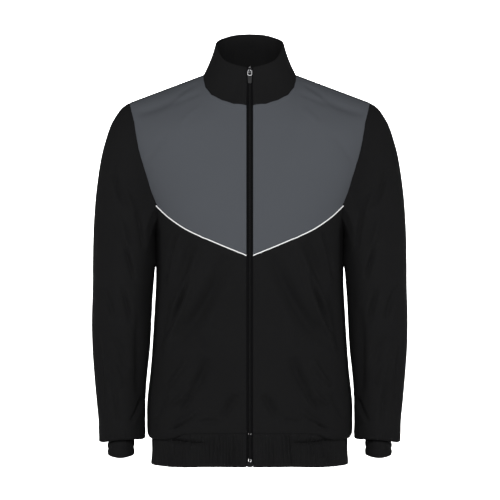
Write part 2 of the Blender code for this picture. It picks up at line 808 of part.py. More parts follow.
def wall(name, outer, inner, closed, finish, few_inner=False):
    """Solid between an outside and an inside grid, with its edges drawn back from the seams."""
    facing = grid_normals(outer, closed)
    outer = drawn_back(outer, closed, facing)
    inner = drawn_back(inner, closed, facing)
    if few_inner:
        inner = inner[[0, -1]]
    rows, columns = outer.shape[:2]
    inner_rows = inner.shape[0]
    mesh = bmesh.new()
    out = [[mesh.verts.new(point) for point in row] for row in outer]
    ins = [[mesh.verts.new(point) for point in row] for row in inner]
    spans = columns if closed else columns - 1

    def rim(a, b, inside_b, inside_a):
        """Edge face, cut from its lower outside point, as on the piece across the seam."""
        if a.co.z < b.co.z:
            mesh.faces.new((a, b, inside_b))
            mesh.faces.new((a, inside_b, inside_a))
        else:
            mesh.faces.new((a, b, inside_a))
            mesh.faces.new((b, inside_b, inside_a))

    for j in range(spans):
        k = (j + 1) % columns
        for i in range(rows - 1):
            mesh.faces.new((out[i][j], out[i][k], out[i + 1][k], out[i + 1][j]))
        for i in range(inner_rows - 1):
            mesh.faces.new((ins[i][j], ins[i + 1][j], ins[i + 1][k], ins[i][k]))
        rim(out[0][k], out[0][j], ins[0][j], ins[0][k])
        rim(out[-1][j], out[-1][k], ins[-1][k], ins[-1][j])
    if not closed and few_inner:
        for j, order in ((0, 1), (columns - 1, -1)):
            ring = [row[j] for row in out] + [row[j] for row in ins[::-1]]
            mesh.faces.new(ring[::order])
    elif not closed:
        for i in range(rows - 1):
            rim(out[i][0], out[i + 1][0], ins[i + 1][0], ins[i][0])
            rim(out[i + 1][-1], out[i][-1], ins[i][-1], ins[i + 1][-1])
    return add_object(name, mesh, finish)


def add_object(name, mesh, finish):
    """Puts a bmesh into the garment's collection as a smooth-shaded object."""
    data = bpy.data.meshes.new(name)
    mesh.to_mesh(data)
    mesh.free()
    data.shade_smooth()
    data.set_sharp_from_angle(angle=math.radians(50))
    thing = bpy.data.objects.new(name, data)
    thing.data.materials.append(material(finish))
    bpy.data.collections[COLLECTION].objects.link(thing)
    return thing


def material(name):
    """Principled material of a finish, made once."""
    found = bpy.data.materials.get(name)
    if found:
        return found
    finish = FINISHES[name]
    made = bpy.data.materials.new(name)
    made.use_nodes = True
    shader = made.node_tree.nodes["Principled BSDF"]
    shader.inputs["Base Color"].default_value = (*finish.colour, 1)
    shader.inputs["Roughness"].default_value = finish.roughness
    shader.inputs["Metallic"].default_value = finish.metallic
    made.diffuse_color = (*finish.colour, 1)
    return made


# ---------------------------------------------------------------- hem band and cuffs

def level_outward(ring, closed):
    """Level outward directions along a ring or an open path seen from above."""
    if closed:
        run = np.roll(ring, -1, axis=0) - np.roll(ring, 1, axis=0)
    else:
        run = np.gradient(ring, axis=0)
    return unit(np.cross(run, [0, 0, 1]) * np.array([1, 1, 0]))


def gather_waves(count, size):
    """Heights of the gathers along a strip: every other point stands out, by uneven amounts."""
    index = np.arange(count)
    uneven = 0.75 + 0.25 * np.sin(index * 1.7) * np.sin(index * 0.37 + 1)
    return (index % 2) * size * uneven


def band_foot(x):
    """Height of the hem band's lower edge."""
    return smooth_through(column(BAND_FOOT, "x"), column(BAND_FOOT, "z"), np.abs(x))


def band_pieces(hem, mitre):
    """Outer and inner grids of the hem band below the body's hem seam."""
    top = split_columns(hem[None], BAND_SPLIT)[0]
    outward = split_columns(level_outward(hem, False)[None], BAND_SPLIT)[0]
    corner = split_columns(mitre[None], BAND_SPLIT)[0]
    sides = smooth_step(np.abs(top[:, 0]), *PLAIN_SIDES)
    ends = smooth_step(np.abs(top[:, 0]), *PLAIN_ENDS)
    behind = top[:, 1] > 0
    waves = gather_waves(len(top), GATHER_DEPTH) * (1 - 0.85 * sides) * np.where(behind, 1, ends)
    shares = np.array([0, 0.08, 0.9, 1.0])[:, None]
    foot = band_foot(top[:, 0])
    z = foot + (top[:, 2] - foot) * shares
    flare = BAND_WAIST * (1 - shares - 4 * shares * (1 - shares))
    plain = np.repeat(top[None], len(shares), axis=0) + outward * flare[..., None]
    plain[..., 2] = z
    standing = np.array([0.45, 1.0, 1.0, 0.0])[:, None] * waves
    outer = plain + outward * standing[..., None]
    directions = np.repeat(outward[None], len(shares), axis=0)
    directions[-1] = corner
    return outer, plain - directions * RIB_CLOTH


def cuff_pieces(mitre):
    """Outer and inner grids of a cuff."""
    ring = cuff_seam()
    ring = np.vstack([ring, ring[:1]])
    outward = level_outward(ring[:-1], True)
    outward = np.vstack([outward, outward[:1]])
    corner = np.vstack([mitre, mitre[:1]])
    top, outward, corner = (split_columns(part[None], 2)[0][:-1] for part in (ring, outward, corner))
    shares = np.array([0, 0.1, 0.45, 0.55, 0.85, 1.0])[:, None]
    plain = np.repeat(top[None], len(shares), axis=0)
    foot = CUFF_BOTTOM_Z - CUFF_BOTTOM_ARCH * ((top[:, 1] - CUFF_Y) / CUFF_HALF_DEPTH) ** 2
    plain[..., 2] = foot + (top[:, 2] - foot) * shares
    stitched = np.array([0.2, 1, 0.35, 0.35, 1, 0])[:, None]
    standing = stitched * (CUFF_SWELL + gather_waves(len(top), CUFF_GATHER))
    directions = np.repeat(outward[None], len(shares), axis=0)
    directions[-1] = corner
    return plain + outward * standing[..., None], plain - directions * RIB_CLOTH


# ---------------------------------------------------------------- zip

class ZipLine:
    """Line of the front panels' zip edges, from the hem band's foot to the collar's top edge."""

    def __init__(self, edges):
        """Edges are (points, next points, outward directions, cloth), from the bottom up."""
        self.points = np.vstack([edge[0] for edge in edges])
        self.across = np.vstack([unit(edge[1] - edge[0]) for edge in edges])
        self.outward = np.vstack([unit(edge[2]) for edge in edges])
        self.depth = np.concatenate([np.full(len(edge[0]), edge[3] + TAPE_GAP) for edge in edges])
        self.share_seams()

    def share_seams(self):
        """Where two pieces meet the line keeps one point, as deep as the thicker cloth needs."""
        keep = [0]
        for i in range(1, len(self.points)):
            if np.linalg.norm(self.points[i] - self.points[keep[-1]]) < 0.5 * MM:
                self.depth[keep[-1]] = max(self.depth[keep[-1]], self.depth[i])
            else:
                keep.append(i)
        for name in ("points", "across", "outward", "depth"):
            setattr(self, name, getattr(self, name)[keep])

    def between(self, low, high):
        """The line's rows between two heights, cut at both."""
        z = self.points[:, 2]
        wanted = np.concatenate([[low], z[(z > low + 2 * MM) & (z < high - 2 * MM)], [high]])
        rows = []
        for name in ("points", "across", "outward"):
            values = getattr(self, name)
            rows.append(np.stack([np.interp(wanted, z, values[:, k]) for k in range(3)], axis=-1))
        rows.append(np.interp(wanted, z, self.depth))
        return rows

    def strip(self, offsets, low, high, lift, thickness):
        """Outer and inner grids of a strip; offsets are distances from the zip's centre line."""
        points, across, outward, depth = self.between(low, high)
        columns = []
        for offset in offsets:
            if offset > PANEL_EDGE:
                reach = (offset - points[:, 0]) / across[:, 0]
                columns.append(points + across * reach[:, None])
            else:
                columns.append(points * np.array([0, 1, 1]) + np.array([offset, 0, 0]))
        grid = np.stack(columns, axis=1)
        depths = (depth - lift)[:, None, None]
        outer = grid - outward[:, None] * depths
        return outer, outer - outward[:, None] * thickness


def block(size, centre):
    """Box as a bmesh, in the zip's own frame."""
    mesh = bmesh.new()
    bmesh.ops.create_cube(mesh, size=1)
    bmesh.ops.scale(mesh, vec=Vector(size), verts=mesh.verts)
    bmesh.ops.translate(mesh, vec=Vector(centre), verts=mesh.verts)
    return mesh


def add_bevel(thing, width, segments=1):
    """Rounded edges on a hard piece."""
    bevel = thing.modifiers.new("rounded", "BEVEL")
    bevel.width = width
    bevel.segments = segments
    bevel.limit_method = "ANGLE"


def joined(name, blocks, finish, bevel, frame):
    """One solid from overlapping boxes, with rounded edges, placed by an empty."""
    thing = add_object(name, blocks[0], finish)
    thing.parent = frame
    cutters = bpy.data.collections[CUTTERS]
    for number, extra in enumerate(blocks[1:]):
        data = bpy.data.meshes.new(f"{name}_part_{number}")
        extra.to_mesh(data)
        extra.free()
        helper = bpy.data.objects.new(data.name, data)
        helper.hide_render = True
        helper.display_type = "WIRE"
        helper.parent = frame
        cutters.objects.link(helper)
        union = thing.modifiers.new("joined", "BOOLEAN")
        union.operation = "UNION"
        union.object = helper
    add_bevel(thing, bevel)
    return thing


def slider(frame):
    """Slider: two plates held apart by a wedge at the top, with a bridge on the front plate."""
    blocks = [block(part.size, part.centre) for part in SLIDER_PARTS]
    return joined("zip_slider", blocks, "bright_metal", SLIDER_BEVEL, frame)


def pull_loop(pivot):
    """Wire loop that hangs from the slider's bridge."""
    curve = bpy.data.curves.new("zip_pull_loop", "CURVE")
    curve.dimensions = "3D"
    curve.bevel_depth = LOOP_WIRE
    curve.bevel_resolution = 2
    corners = 4
    spline = curve.splines.new("POLY")
    points = []
    for turn, (x, z) in enumerate(((1, 0), (-1, 0), (-1, -1), (1, -1))):
        centre = Vector((x * (LOOP_HALF_WIDTH - LOOP_CORNER), 0,
                         z * (LOOP_DROP - 2 * LOOP_CORNER) - LOOP_CORNER))
        for step in range(corners + 1):
            angle = math.pi / 2 * (turn + step / corners)
            points.append(centre + LOOP_CORNER * Vector((math.cos(angle), 0, math.sin(angle))))
    spline.points.add(len(points) - 1)
    for point, place_ in zip(spline.points, points):
        point.co = (*place_, 1)
    spline.use_cyclic_u = True
    curve.materials.append(material("bright_metal"))
    thing = bpy.data.objects.new("zip_pull_loop", curve)
    bpy.data.collections[COLLECTION].objects.link(thing)
    thing.parent = pivot
    return thing


def pull_tab(pivot):
    """Moulded tab below the loop, a little narrower at its foot."""
    mesh = block((1, 1, 1), (0, 0, 0))
    top = -LOOP_DROP - LOOP_WIRE - SEAM_GAP
    for vertex in mesh.verts:
        high = vertex.co.z > 0
        half = TAB_TOP_HALF if high else TAB_FOOT_HALF
        vertex.co = Vector((math.copysign(half, vertex.co.x),
                            math.copysign(TAB_THICK / 2, vertex.co.y),
                            top if high else top - TAB_LENGTH))
    thing = add_object("zip_pull_tab", mesh, "grey_moulding")
    add_bevel(thing, 0.6 * MM)
    thing.parent = pivot
    return thing


def piping(name, points, outward):
    """Round piping along the V seam, just proud of the cloth."""
    curve = bpy.data.curves.new(name, "CURVE")
    curve.dimensions = "3D"
    curve.bevel_depth = PIPING_RADIUS
    curve.bevel_resolution = 1
    curve.use_fill_caps = True
    lifted = points + outward * (PIPING_RADIUS + SEAM_GAP)
    lifted[0] += unit(lifted[1] - lifted[0]) * 0.3 * MM
    lifted[-1] += unit(lifted[-2] - lifted[-1]) * 1.5 * MM
    spline = curve.splines.new("POLY")
    spline.points.add(len(lifted) - 1)
    for point, at in zip(spline.points, lifted):
        point.co = (*at, 1)
    curve.materials.append(material("white_piping"))
    thing = bpy.data.objects.new(name, curve)
    bpy.data.collections[COLLECTION].objects.link(thing)


# ---------------------------------------------------------------- the whole garment

def clear_scene():
    for thing in list(bpy.data.objects):
        bpy.data.objects.remove(thing, do_unlink=True)
    for name in (COLLECTION, CUTTERS):
        bpy.context.scene.collection.children.link(bpy.data.collections.new(name))


def add_empty(name, location, rotation=(0, 0, 0), parent=None):
    """Empty that places the pieces under it."""
    empty = bpy.data.objects.new(name, None)
    empty.location = location
    empty.rotation_euler = rotation
    empty.empty_display_size = 0.01
    empty.parent = parent
    bpy.data.collections[CUTTERS].objects.link(empty)
    return empty


def on_both_sides(name, grid):
    """The grid of the wearer's left (+X) and its mirror image on the right."""
    return {f"{name}_left": grid, f"{name}_right": mirrored(grid)}


def build_garment():
    """Every cut piece of cloth, as outside grids with shared seams."""
    front = body(*np.moveaxis(front_places(), -1, 0))
    yoke = body(*np.moveaxis(yoke_places(), -1, 0))
    half_back = body(*np.moveaxis(back_places(), -1, 0))
    half_back[:, 0, 0] = 0
    back = np.concatenate([half_back[:, ::-1], half_back[:, 1:] * np.array([-1, 1, 1])], axis=1)
    sleeve = creased_sleeve(sleeve_grid(armhole_ring(front, yoke, back)))
    neck = np.vstack([
        yoke[-1, :NECK_COLUMNS + 1],
        back[-1, SHOULDER_COLUMNS + 1:-SHOULDER_COLUMNS - 1],
        mirrored(yoke)[-1, -NECK_COLUMNS - 1:],
    ])
    garment = Garment()
    garment.add("back", back)
    for name, grid in (*on_both_sides("front", front).items(), *on_both_sides("yoke", yoke).items()):
        garment.add(name, grid)
    for name, grid in on_both_sides("sleeve", sleeve).items():
        garment.add(name, grid, closed=True)
    garment.add("collar", collar_grid(neck))
    return garment


def hem_ring(garment):
    """Body's hem from the zip on the left side round to the zip on the right."""
    left, back, right = (garment.grids[name][0] for name in ("front_left", "back", "front_right"))
    return np.vstack([left, back[1:], right[1:]])


def hem_mitre(ring):
    """Directions of the hem seam's mitre, which leans down where the body blouses over the band."""
    outward = level_outward(ring, False)
    amount = np.where(ring[:, 1] < 0, smooth_step(np.abs(ring[:, 0]), *HEM_STEP), 1.0)
    return outward - np.array([0, 0, 0.6]) * amount[:, None]


def cuff_mitre():
    """Directions of the cuff seam's mitre: the sleeve comes in level above the cuff."""
    return level_outward(cuff_seam(), True) - np.array([0, 0, 1.0])


def sew_cloth(garment):
    """Walls of all the cloth pieces."""
    finishes = {"yoke_left": "grey_knit", "yoke_right": "grey_knit"}
    for name, grid in garment.grids.items():
        normals = garment.normals(name)
        cloth = BODY_CLOTH
        if name == "collar":
            normals[0, 1::2] = (normals[0, :-1:2] + normals[0, 2::2]) / 2
            cloth = RIB_CLOTH
        wall(name, grid, grid - normals * cloth, garment.closed[name], finishes.get(name, "black_knit"))


def add_cuffs():
    outer, inner = cuff_pieces(cuff_mitre())
    wall("cuff_left", outer, inner, True, "black_knit", few_inner=True)
    wall("cuff_right", mirrored(outer), mirrored(inner), True, "black_knit", few_inner=True)


def zip_line(garment, band):
    """Zip line of the left side, from the pieces' own points."""
    band_out = np.repeat([[0.0, -1.0, 0.0]], len(band), axis=0)
    edges = [(band[:, 0], band[:, 1], band_out, RIB_CLOTH)]
    for name, cloth in (("front_left", BODY_CLOTH), ("yoke_left", BODY_CLOTH), ("collar", RIB_CLOTH)):
        grid = garment.grids[name]
        edges.append((grid[:, 0], grid[:, 1], garment.normals(name)[:, 0], cloth))
    return ZipLine(edges)


def add_zip(line):
    """Tapes, chain, bottom box, slider and pull."""
    top = line.points[-1] * np.array([0, 1, 1])
    rise = unit(top - line.points[-2] * np.array([0, 1, 1]))
    collar_top = top[2]
    foot = float(band_foot(0.0))
    box_foot = foot + BOX_RISE
    box_top = box_foot + BOX_HEIGHT
    offsets = (TAPE_INNER, PANEL_EDGE, TAPE_OUTER)
    outer, inner = line.strip(offsets, foot + TAPE_FOOT_RISE, collar_top - TAPE_TOP_DROP, 0, TAPE_CLOTH)
    wall("zip_tape_left", outer, inner, False, "zip_tape")
    wall("zip_tape_right", mirrored(outer), mirrored(inner), False, "zip_tape")
    lift = (CHAIN_THICK - TAPE_CLOTH) / 2
    outer, inner = line.strip((-CHAIN_HALF, CHAIN_HALF), box_top + BOX_GAP,
                              collar_top - CHAIN_TOP_DROP, lift, CHAIN_THICK)
    wall("zip_chain", outer, inner, False, "zip_coil")

    tape_y = min(line.between(foot, box_top)[0][:, 1]) + line.depth[0]
    box = add_object("zip_box", block((BOX_WIDTH, BOX_THICK, BOX_HEIGHT), (0, 0, 0)), "zip_coil")
    box.location = (0, tape_y - BOX_GAP - BOX_THICK / 2, (box_foot + box_top) / 2)
    add_bevel(box, 0.6 * MM)

    lean = math.atan2(rise[1], rise[2])
    centre = top + rise * (SLIDER_ABOVE - SLIDER_HEIGHT / 2)
    frame = add_empty("zip_frame", centre, (-lean, 0, 0))
    slider(frame)
    pivot = add_empty("pull_pivot", (0, PULL_AXIS_OUT, PULL_AXIS_UP), parent=frame)
    pull_loop(pivot)
    pull_tab(pivot)


def main():
    clear_scene()
    garment = build_garment()
    ring = hem_ring(garment)
    mitre = hem_mitre(ring)
    garment.fix(ring, mitre)
    for side in (1, -1):
        seam = garment.grids["sleeve_left" if side > 0 else "sleeve_right"][0]
        directions = cuff_mitre() if side > 0 else mirrored(cuff_mitre()[None])[0]
        garment.fix(seam, directions)
    sew_cloth(garment)
    outer, inner = band_pieces(ring, mitre)
    wall("hem_band", outer, inner, False, "black_knit", few_inner=True)
    add_cuffs()
    for side in ("left", "right"):
        seam = garment.grids[f"front_{side}"][-1]
        outward = garment.normals(f"front_{side}")[-1]
        if side == "right":
            seam, outward = seam[::-1], outward[::-1]
        piping(f"piping_{side}", seam, outward)
    add_zip(zip_line(garment, outer))


main()
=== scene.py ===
"""Looks of the full-zip track jacket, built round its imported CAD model.

Frame: metres, +Z up, the front faces -Y.  Sizes in the tables are in millimetres.  A place on the
body's cloth has two numbers: its turn (0 at the centre line, a quarter turn at the side) and how far
it lies over the shoulder ridge (negative in front, positive behind), as in the CAD model.
"""

from __future__ import annotations

import json
import logging
import math
import random
from dataclasses import dataclass
from enum import Enum

import bmesh
import bpy
import numpy as np
from mathutils import Matrix, Vector, noise

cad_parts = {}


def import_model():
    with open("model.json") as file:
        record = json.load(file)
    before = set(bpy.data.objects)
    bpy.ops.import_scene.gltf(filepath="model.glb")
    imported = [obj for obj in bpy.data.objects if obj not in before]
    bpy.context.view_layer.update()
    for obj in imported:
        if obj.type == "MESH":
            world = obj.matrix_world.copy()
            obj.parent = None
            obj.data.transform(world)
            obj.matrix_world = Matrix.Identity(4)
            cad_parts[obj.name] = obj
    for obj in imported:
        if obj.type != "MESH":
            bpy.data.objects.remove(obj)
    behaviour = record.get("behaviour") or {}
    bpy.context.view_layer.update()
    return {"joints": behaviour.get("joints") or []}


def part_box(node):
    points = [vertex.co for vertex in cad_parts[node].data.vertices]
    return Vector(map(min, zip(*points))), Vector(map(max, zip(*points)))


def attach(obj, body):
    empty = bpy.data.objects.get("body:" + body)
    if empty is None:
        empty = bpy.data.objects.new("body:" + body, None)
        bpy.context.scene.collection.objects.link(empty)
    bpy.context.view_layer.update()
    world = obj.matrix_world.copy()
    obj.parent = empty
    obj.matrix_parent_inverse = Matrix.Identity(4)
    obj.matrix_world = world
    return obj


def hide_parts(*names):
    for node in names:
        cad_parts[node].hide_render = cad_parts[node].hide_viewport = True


MM = 0.001
GARMENT = "garment"
PULL = "pull"
LOG = logging.getLogger("track_jacket")
MIRROR = np.array([-1, 1, 1])

# Thickness of the cloth, and how far the edges of a piece reach over its seams
BODY_CLOTH = 1.5 * MM
RIB_CLOTH = 2.5 * MM
TAPE_CLOTH = 1.0 * MM
SEAM_LAP = 0.1 * MM
SLEEVE_LAP = 0.7 * MM

# Piping and stitches: their distance from an edge, their steps and the form of one stitch
PIPING_RADIUS = 1.15 * MM
EDGE_STITCH = 6 * MM
NECK_STITCH = 8 * MM
HEM_STITCH_RISE = 1.8 * MM
STITCH_PITCH = 3.1 * MM
STITCH_RADIUS = 0.2 * MM
STITCH = [(0, -0.25, -1.2), (0, 0.12, -0.6), (0, 0.2, 0), (0, 0.12, 0.6), (0, -0.25, 1.2)]

# Places that several pieces share
TAPE_GAP = 0.5 * MM
PANEL_EDGE = 6.2 * MM
UNDERARM_Z = -300 * MM
V_END_Z = -241 * MM
SHOULDER_Z = -51 * MM
HEM_CENTRE_Z = -655.5 * MM
HEM_SIDE_Z = -669.5 * MM
HEM_STEP = (112 * MM, 152 * MM)

# Rows and columns of the cut pieces in the CAD model, which the fine grids cut further
SIDE_ROWS = 9
LOW_ARM_ROWS = 4
YOKE_ARM_ROWS = 8
BACK_ARM_ROWS = LOW_ARM_ROWS + YOKE_ARM_ROWS
NECK_COLUMNS = 6
SHOULDER_COLUMNS = 7
FRONT_COLUMNS = NECK_COLUMNS + SHOULDER_COLUMNS
BACK_NECK_COLUMNS = 4
BACK_COLUMNS = BACK_NECK_COLUMNS + SHOULDER_COLUMNS
HEM_TUCK_ROWS = 4

# Extra rows beside an edge, in parts of a cut
NEAR_EDGE = np.array((0.1, 0.22, 0.4, 0.65))

# Exponent and scale that turn the fold tables' depths into the depths that show
FOLD_FADE = 0.8
FOLD_SCALE = 1.35

# Steps that find a level on the sloping shoulder, and the fineness of small bars and wires
RIDGE_STEPS = 14
BAR_SIDES = 6
BAR_TAPER = 0.55
WIRE_ROUNDNESS = 3

# Angles from which an edge is shaded sharp
CLOTH_CREASE = math.radians(65)
HARD_CREASE = math.radians(40)

# Short names for types
Array, Thing, Finish, Socket = np.ndarray, bpy.types.Object, bpy.types.Material, bpy.types.NodeSocket
Colour = tuple[float, float, float]
Fold = tuple[float, float, float, float, float, float, float]


class Side(Enum):
    """Wearer's side of a piece."""

    LEFT = 1
    RIGHT = -1

    @property
    def label(self) -> str:
        """Word used in the names of pieces and nodes."""
        return self.name.lower()

    def of(self, grid: Array) -> Array:
        """A left grid as it is, or mirrored for the right side."""
        return grid if self is Side.LEFT else mirrored(grid)


class Hold(Enum):
    """How the cloth of a piece is held."""

    HUNG = "hung"
    GATHERED = "gathered"


# --- curves and grids


def hermite(t: Array | float, start: Array, leaving: Array, end: Array, arriving: Array) -> Array:
    """Cubic between two values with a given slope at each.

    Args:
        t: Share of the way, from 0 to 1.
        start: Value at 0.
        leaving: Slope at 0.
        end: Value at 1.
        arriving: Slope at 1.

    Returns:
        The values at t.
    """
    return (start * (1 + 2 * t) * (1 - t) ** 2 + leaving * t * (1 - t) ** 2
            + end * t ** 2 * (3 - 2 * t) + arriving * t ** 2 * (t - 1))


def smooth_through(knots: Array, values: Array, at: Array) -> Array:
    """Cubic through a table that keeps its rises and falls, level past both ends.

    Args:
        knots: Places of the table's rows, in either order.
        values: Value of each row.
        at: Places where the value is wanted.

    Returns:
        The values there.
    """
    order = np.argsort(knots)
    knot, value = np.asarray(knots, float)[order], np.asarray(values, float)[order]
    step = np.diff(knot)
    slope = np.diff(value) / step
    tangent = np.zeros_like(value)
    product, total = slope[1:] * slope[:-1], slope[1:] + slope[:-1]
    tangent[1:-1] = np.where(product > 0, 2 * product / np.where(product > 0, total, 1.0), 0.0)
    where = np.clip(at, knot[0], knot[-1])
    cell = np.clip(np.searchsorted(knot, where, side="right") - 1, 0, len(step) - 1)
    t = (where - knot[cell]) / step[cell]
    leaving, arriving = tangent[cell] * step[cell], tangent[cell + 1] * step[cell]
    return hermite(t, value[cell], leaving, value[cell + 1], arriving)


def rounded_path(points: Array, count: int) -> Array:
    """Smooth path through a few points, with its knots spaced by the roots of the chords.

    Args:
        points: Points that the path passes through.
        count: Number of points on the path.

    Returns:
        The path's points.
    """
    pts = np.asarray(points, float)
    ends = np.vstack([2 * pts[0] - pts[1], pts, 2 * pts[-1] - pts[-2]])
    knot = np.concatenate([[0], np.cumsum(np.sqrt(np.linalg.norm(np.diff(ends, axis=0), axis=1)))])
    path = []
    for t in np.linspace(knot[1], knot[-2], count):
        i = int(np.clip(np.searchsorted(knot, t, side="right") - 1, 1, len(pts) - 1))
        a, b, c, d = ends[i - 1:i + 3]
        ta, tb, tc, td = knot[i - 1:i + 3]
        ab = a + (b - a) * (t - ta) / (tb - ta)
        bc = b + (c - b) * (t - tb) / (tc - tb)
        cd = c + (d - c) * (t - tc) / (td - tc)
        abc = ab + (bc - ab) * (t - ta) / (tc - ta)
        bcd = bc + (cd - bc) * (t - tb) / (td - tb)
        path.append(abc + (bcd - abc) * (t - tb) / (tc - tb))
    return np.array(path)


def smooth_step(value: Array, low: float, high: float) -> Array:
    """0 below low, 1 above high, and a soft rise between them."""
    t = np.clip((value - low) / (high - low), 0, 1)
    return t * t * (3 - 2 * t)


def bump(distance: Array, width: float) -> Array:
    """Bell curve of a distance, about twice as wide as its width."""
    return np.exp(-(distance / width) ** 2)


def unit(vectors: Array) -> Array:
    """Vectors of length one."""
    return vectors / np.maximum(np.linalg.norm(vectors, axis=-1, keepdims=True), 1e-12)


def run_length(points: Array) -> Array:
    """Length along a path up to each of its points."""
    return np.concatenate([[0], np.cumsum(np.linalg.norm(np.diff(points, axis=0), axis=1))])


def at_ticks(rows: Array, ticks: Array) -> Array:
    """Rows of a table at broken row numbers, straight between its own rows."""
    low = np.clip(np.floor(ticks).astype(int), 0, len(rows) - 2)
    share = (ticks - low).reshape(-1, *([1] * (rows.ndim - 1)))
    return rows[low] * (1 - share) + rows[low + 1] * share


def curved_rows(rows: Array, ticks: Array) -> Array:
    """Rows of a grid at broken row numbers, on smooth curves through its own rows.

    Args:
        rows: Grid of points, rows first.
        ticks: Row numbers, whole or broken.

    Returns:
        Grid with a row for each tick.
    """
    gap = np.linalg.norm(np.diff(rows, axis=0), axis=-1).mean(axis=1)
    knot = np.concatenate([[0], np.cumsum(np.maximum(gap, 1e-7))])
    slope = np.diff(rows, axis=0) / np.diff(knot)[:, None, None]
    inner = (slope[:-1] * gap[1:, None, None] + slope[1:] * gap[:-1, None, None])
    inner = inner / (gap[1:] + gap[:-1])[:, None, None]
    tangent = np.concatenate([slope[:1], inner, slope[-1:]])
    low = np.clip(np.floor(ticks).astype(int), 0, len(rows) - 2)
    t = (ticks - low)[:, None, None]
    span = np.diff(knot)[low][:, None, None]
    return hermite(t, rows[low], tangent[low] * span, rows[low + 1], tangent[low + 1] * span)


def even_ticks(cells: int, cuts: int) -> Array:
    """Row numbers that cut every cell into equal parts."""
    return np.linspace(0, cells, cells * cuts + 1)


def edge_ticks(cells: int, cuts: int) -> Array:
    """Row numbers that cut every cell, with extra rows close to both edges."""
    extra = NEAR_EDGE / cuts
    return np.sort(np.concatenate([even_ticks(cells, cuts), extra, cells - extra]))


def shares(count: int, *extra: float) -> Array:
    """Even shares from 0 to 1, with some extra ones between them."""
    return np.unique(np.concatenate([np.linspace(0, 1, count), extra]))


def standing_rows(top: Array, foot: Array, share: Array) -> Array:
    """Grid of upright lines below a seam.

    Args:
        top: Points of the seam.
        foot: Height of each line's lower end.
        share: Height of each row, from 0 at the foot to 1 at the seam.

    Returns:
        Grid with its rows upwards.
    """
    grid = np.repeat(top[None], len(share), axis=0)
    grid[..., 2] = foot + (top[:, 2] - foot) * share[:, None]
    return grid


def oval(angle: Array, x: float, y: float, width: float, depth: float, z: Array | float) -> Array:
    """Points round an oval of some half width and depth, from its inner side round the front."""
    height = np.broadcast_to(z, angle.shape)
    return np.stack([x - width * np.cos(angle), y - depth * np.sin(angle), height], axis=-1)


def mirrored(grid: Array) -> Array:
    """The same grid on the other side, its columns turned round so that it still faces out."""
    return grid[:, ::-1] * MIRROR


def both_sides(half: Array) -> Array:
    """Path over both sides, from its left half up to the centre line."""
    return np.vstack([half, (half[::-1] * MIRROR)[1:]])


def along_path(path: Array, run: Array, at: Array | float) -> Array:
    """Points of a path at some lengths along it."""
    return np.stack([np.interp(at, run, path[:, k]) for k in range(path.shape[1])], axis=-1)


def grid_normals(grid: Array, closed: bool) -> Array:
    """Outward direction at each point of a grid.

    Args:
        grid: Points, rows upwards and columns to the right as seen from outside.
        closed: Whether the last column meets the first.

    Returns:
        Directions of length one.
    """
    cells = np.concatenate([grid, grid[:, :1]], axis=1) if closed else grid
    faces = np.cross(cells[1:, 1:] - cells[:-1, :-1], cells[1:, :-1] - cells[:-1, 1:])
    total = np.zeros_like(cells)
    for rows in (slice(None, -1), slice(1, None)):
        for columns in (slice(None, -1), slice(1, None)):
            total[rows, columns] += faces
    if closed:
        total[:, 0] += total[:, -1]
        total = total[:, :-1]
    return unit(total)


def edge_distance(grid: Array, closed: bool) -> Array:
    """Distance of each point to the nearest edge of its grid, along its row or column.

    Args:
        grid: Points of the piece.
        closed: Whether the grid has no side edges.

    Returns:
        Distances, one for each point.
    """
    down = np.linalg.norm(np.diff(grid, axis=0), axis=-1)
    zero = np.zeros((1, grid.shape[1]))
    rise = np.concatenate([zero, np.cumsum(down, axis=0)])
    near = np.minimum(rise, rise[-1:] - rise)
    if not closed:
        across = np.linalg.norm(np.diff(grid, axis=1), axis=-1)
        run = np.concatenate([np.zeros((grid.shape[0], 1)), np.cumsum(across, axis=1)], axis=1)
        near = np.minimum(near, np.minimum(run, run[:, -1:] - run))
    return near


def ripple(grid: Array, size: float, seed: float) -> Array:
    """Soft unevenness of worn cloth, from -1 to 1.

    Args:
        grid: Points of the piece.
        size: Usual length of one swell.
        seed: Shifts the pattern, so that pieces differ.

    Returns:
        One value for each point.
    """
    shift = Vector((seed, seed * 1.7, seed * 0.3))
    flat = grid.reshape(-1, 3) / size
    values = [noise.noise(Vector(point) + shift) for point in flat.tolist()]
    return np.array(values).reshape(grid.shape[:-1])


# --- the worn form

# z, half width, front depth, back depth
TORSO = np.array((
    (60, 250, 74, 96), (0, 250, 80, 99), (-51, 245, 88, 106), (-100, 236, 102, 120),
    (-150, 222, 114, 130), (-200, 204, 122, 133), (-245, 188, 125, 132), (-275, 178.5, 126, 130),
    (-300, 174, 126, 128), (-368, 173.4, 126, 124), (-451, 177.1, 125, 119),
    (-535, 182.7, 124, 118), (-618, 190.1, 123, 120), (-720, 190.1, 122, 120),
)) * MM

# z in millimetres, then how far out the armhole lies in front and behind, as shares of the half width
ARMHOLE = np.array((
    (-300, 1.0, 1.0), (-296, 0.9965, 0.9968), (-285, 0.979, 0.983), (-270, 0.944, 0.962),
    (-256, 0.912, 0.945), (-241, 0.898, 0.930), (-210, 0.911, 0.920), (-181, 0.904, 0.912),
    (-152, 0.904, 0.905), (-120, 0.896, 0.897), (-85, 0.890, 0.894), (-51, 0.906, 0.906),
))

# x, z as seen from ahead
V_SEAM = np.array(((0, -334.5), (66, -307), (117, -283.5), (155, -256), (169, -241))) * MM
NECKLINE = np.array(((0, -57.8), (30, -55), (51, -48), (68, -39.5), (78.5, -29), (84.5, -15))) * MM

# height above the hem seam, share of the tuck there
HEM_TUCKS = np.array(((0, 1), (1.5, 0.66), (5, 0.32), (12, 0.06), (25, 0)))

# distance from the centre line, height of the hem band's lower edge
BAND_FOOT = np.array(((0, -716), (70, -715.7), (140, -717.7), (185, -716.3))) * MM

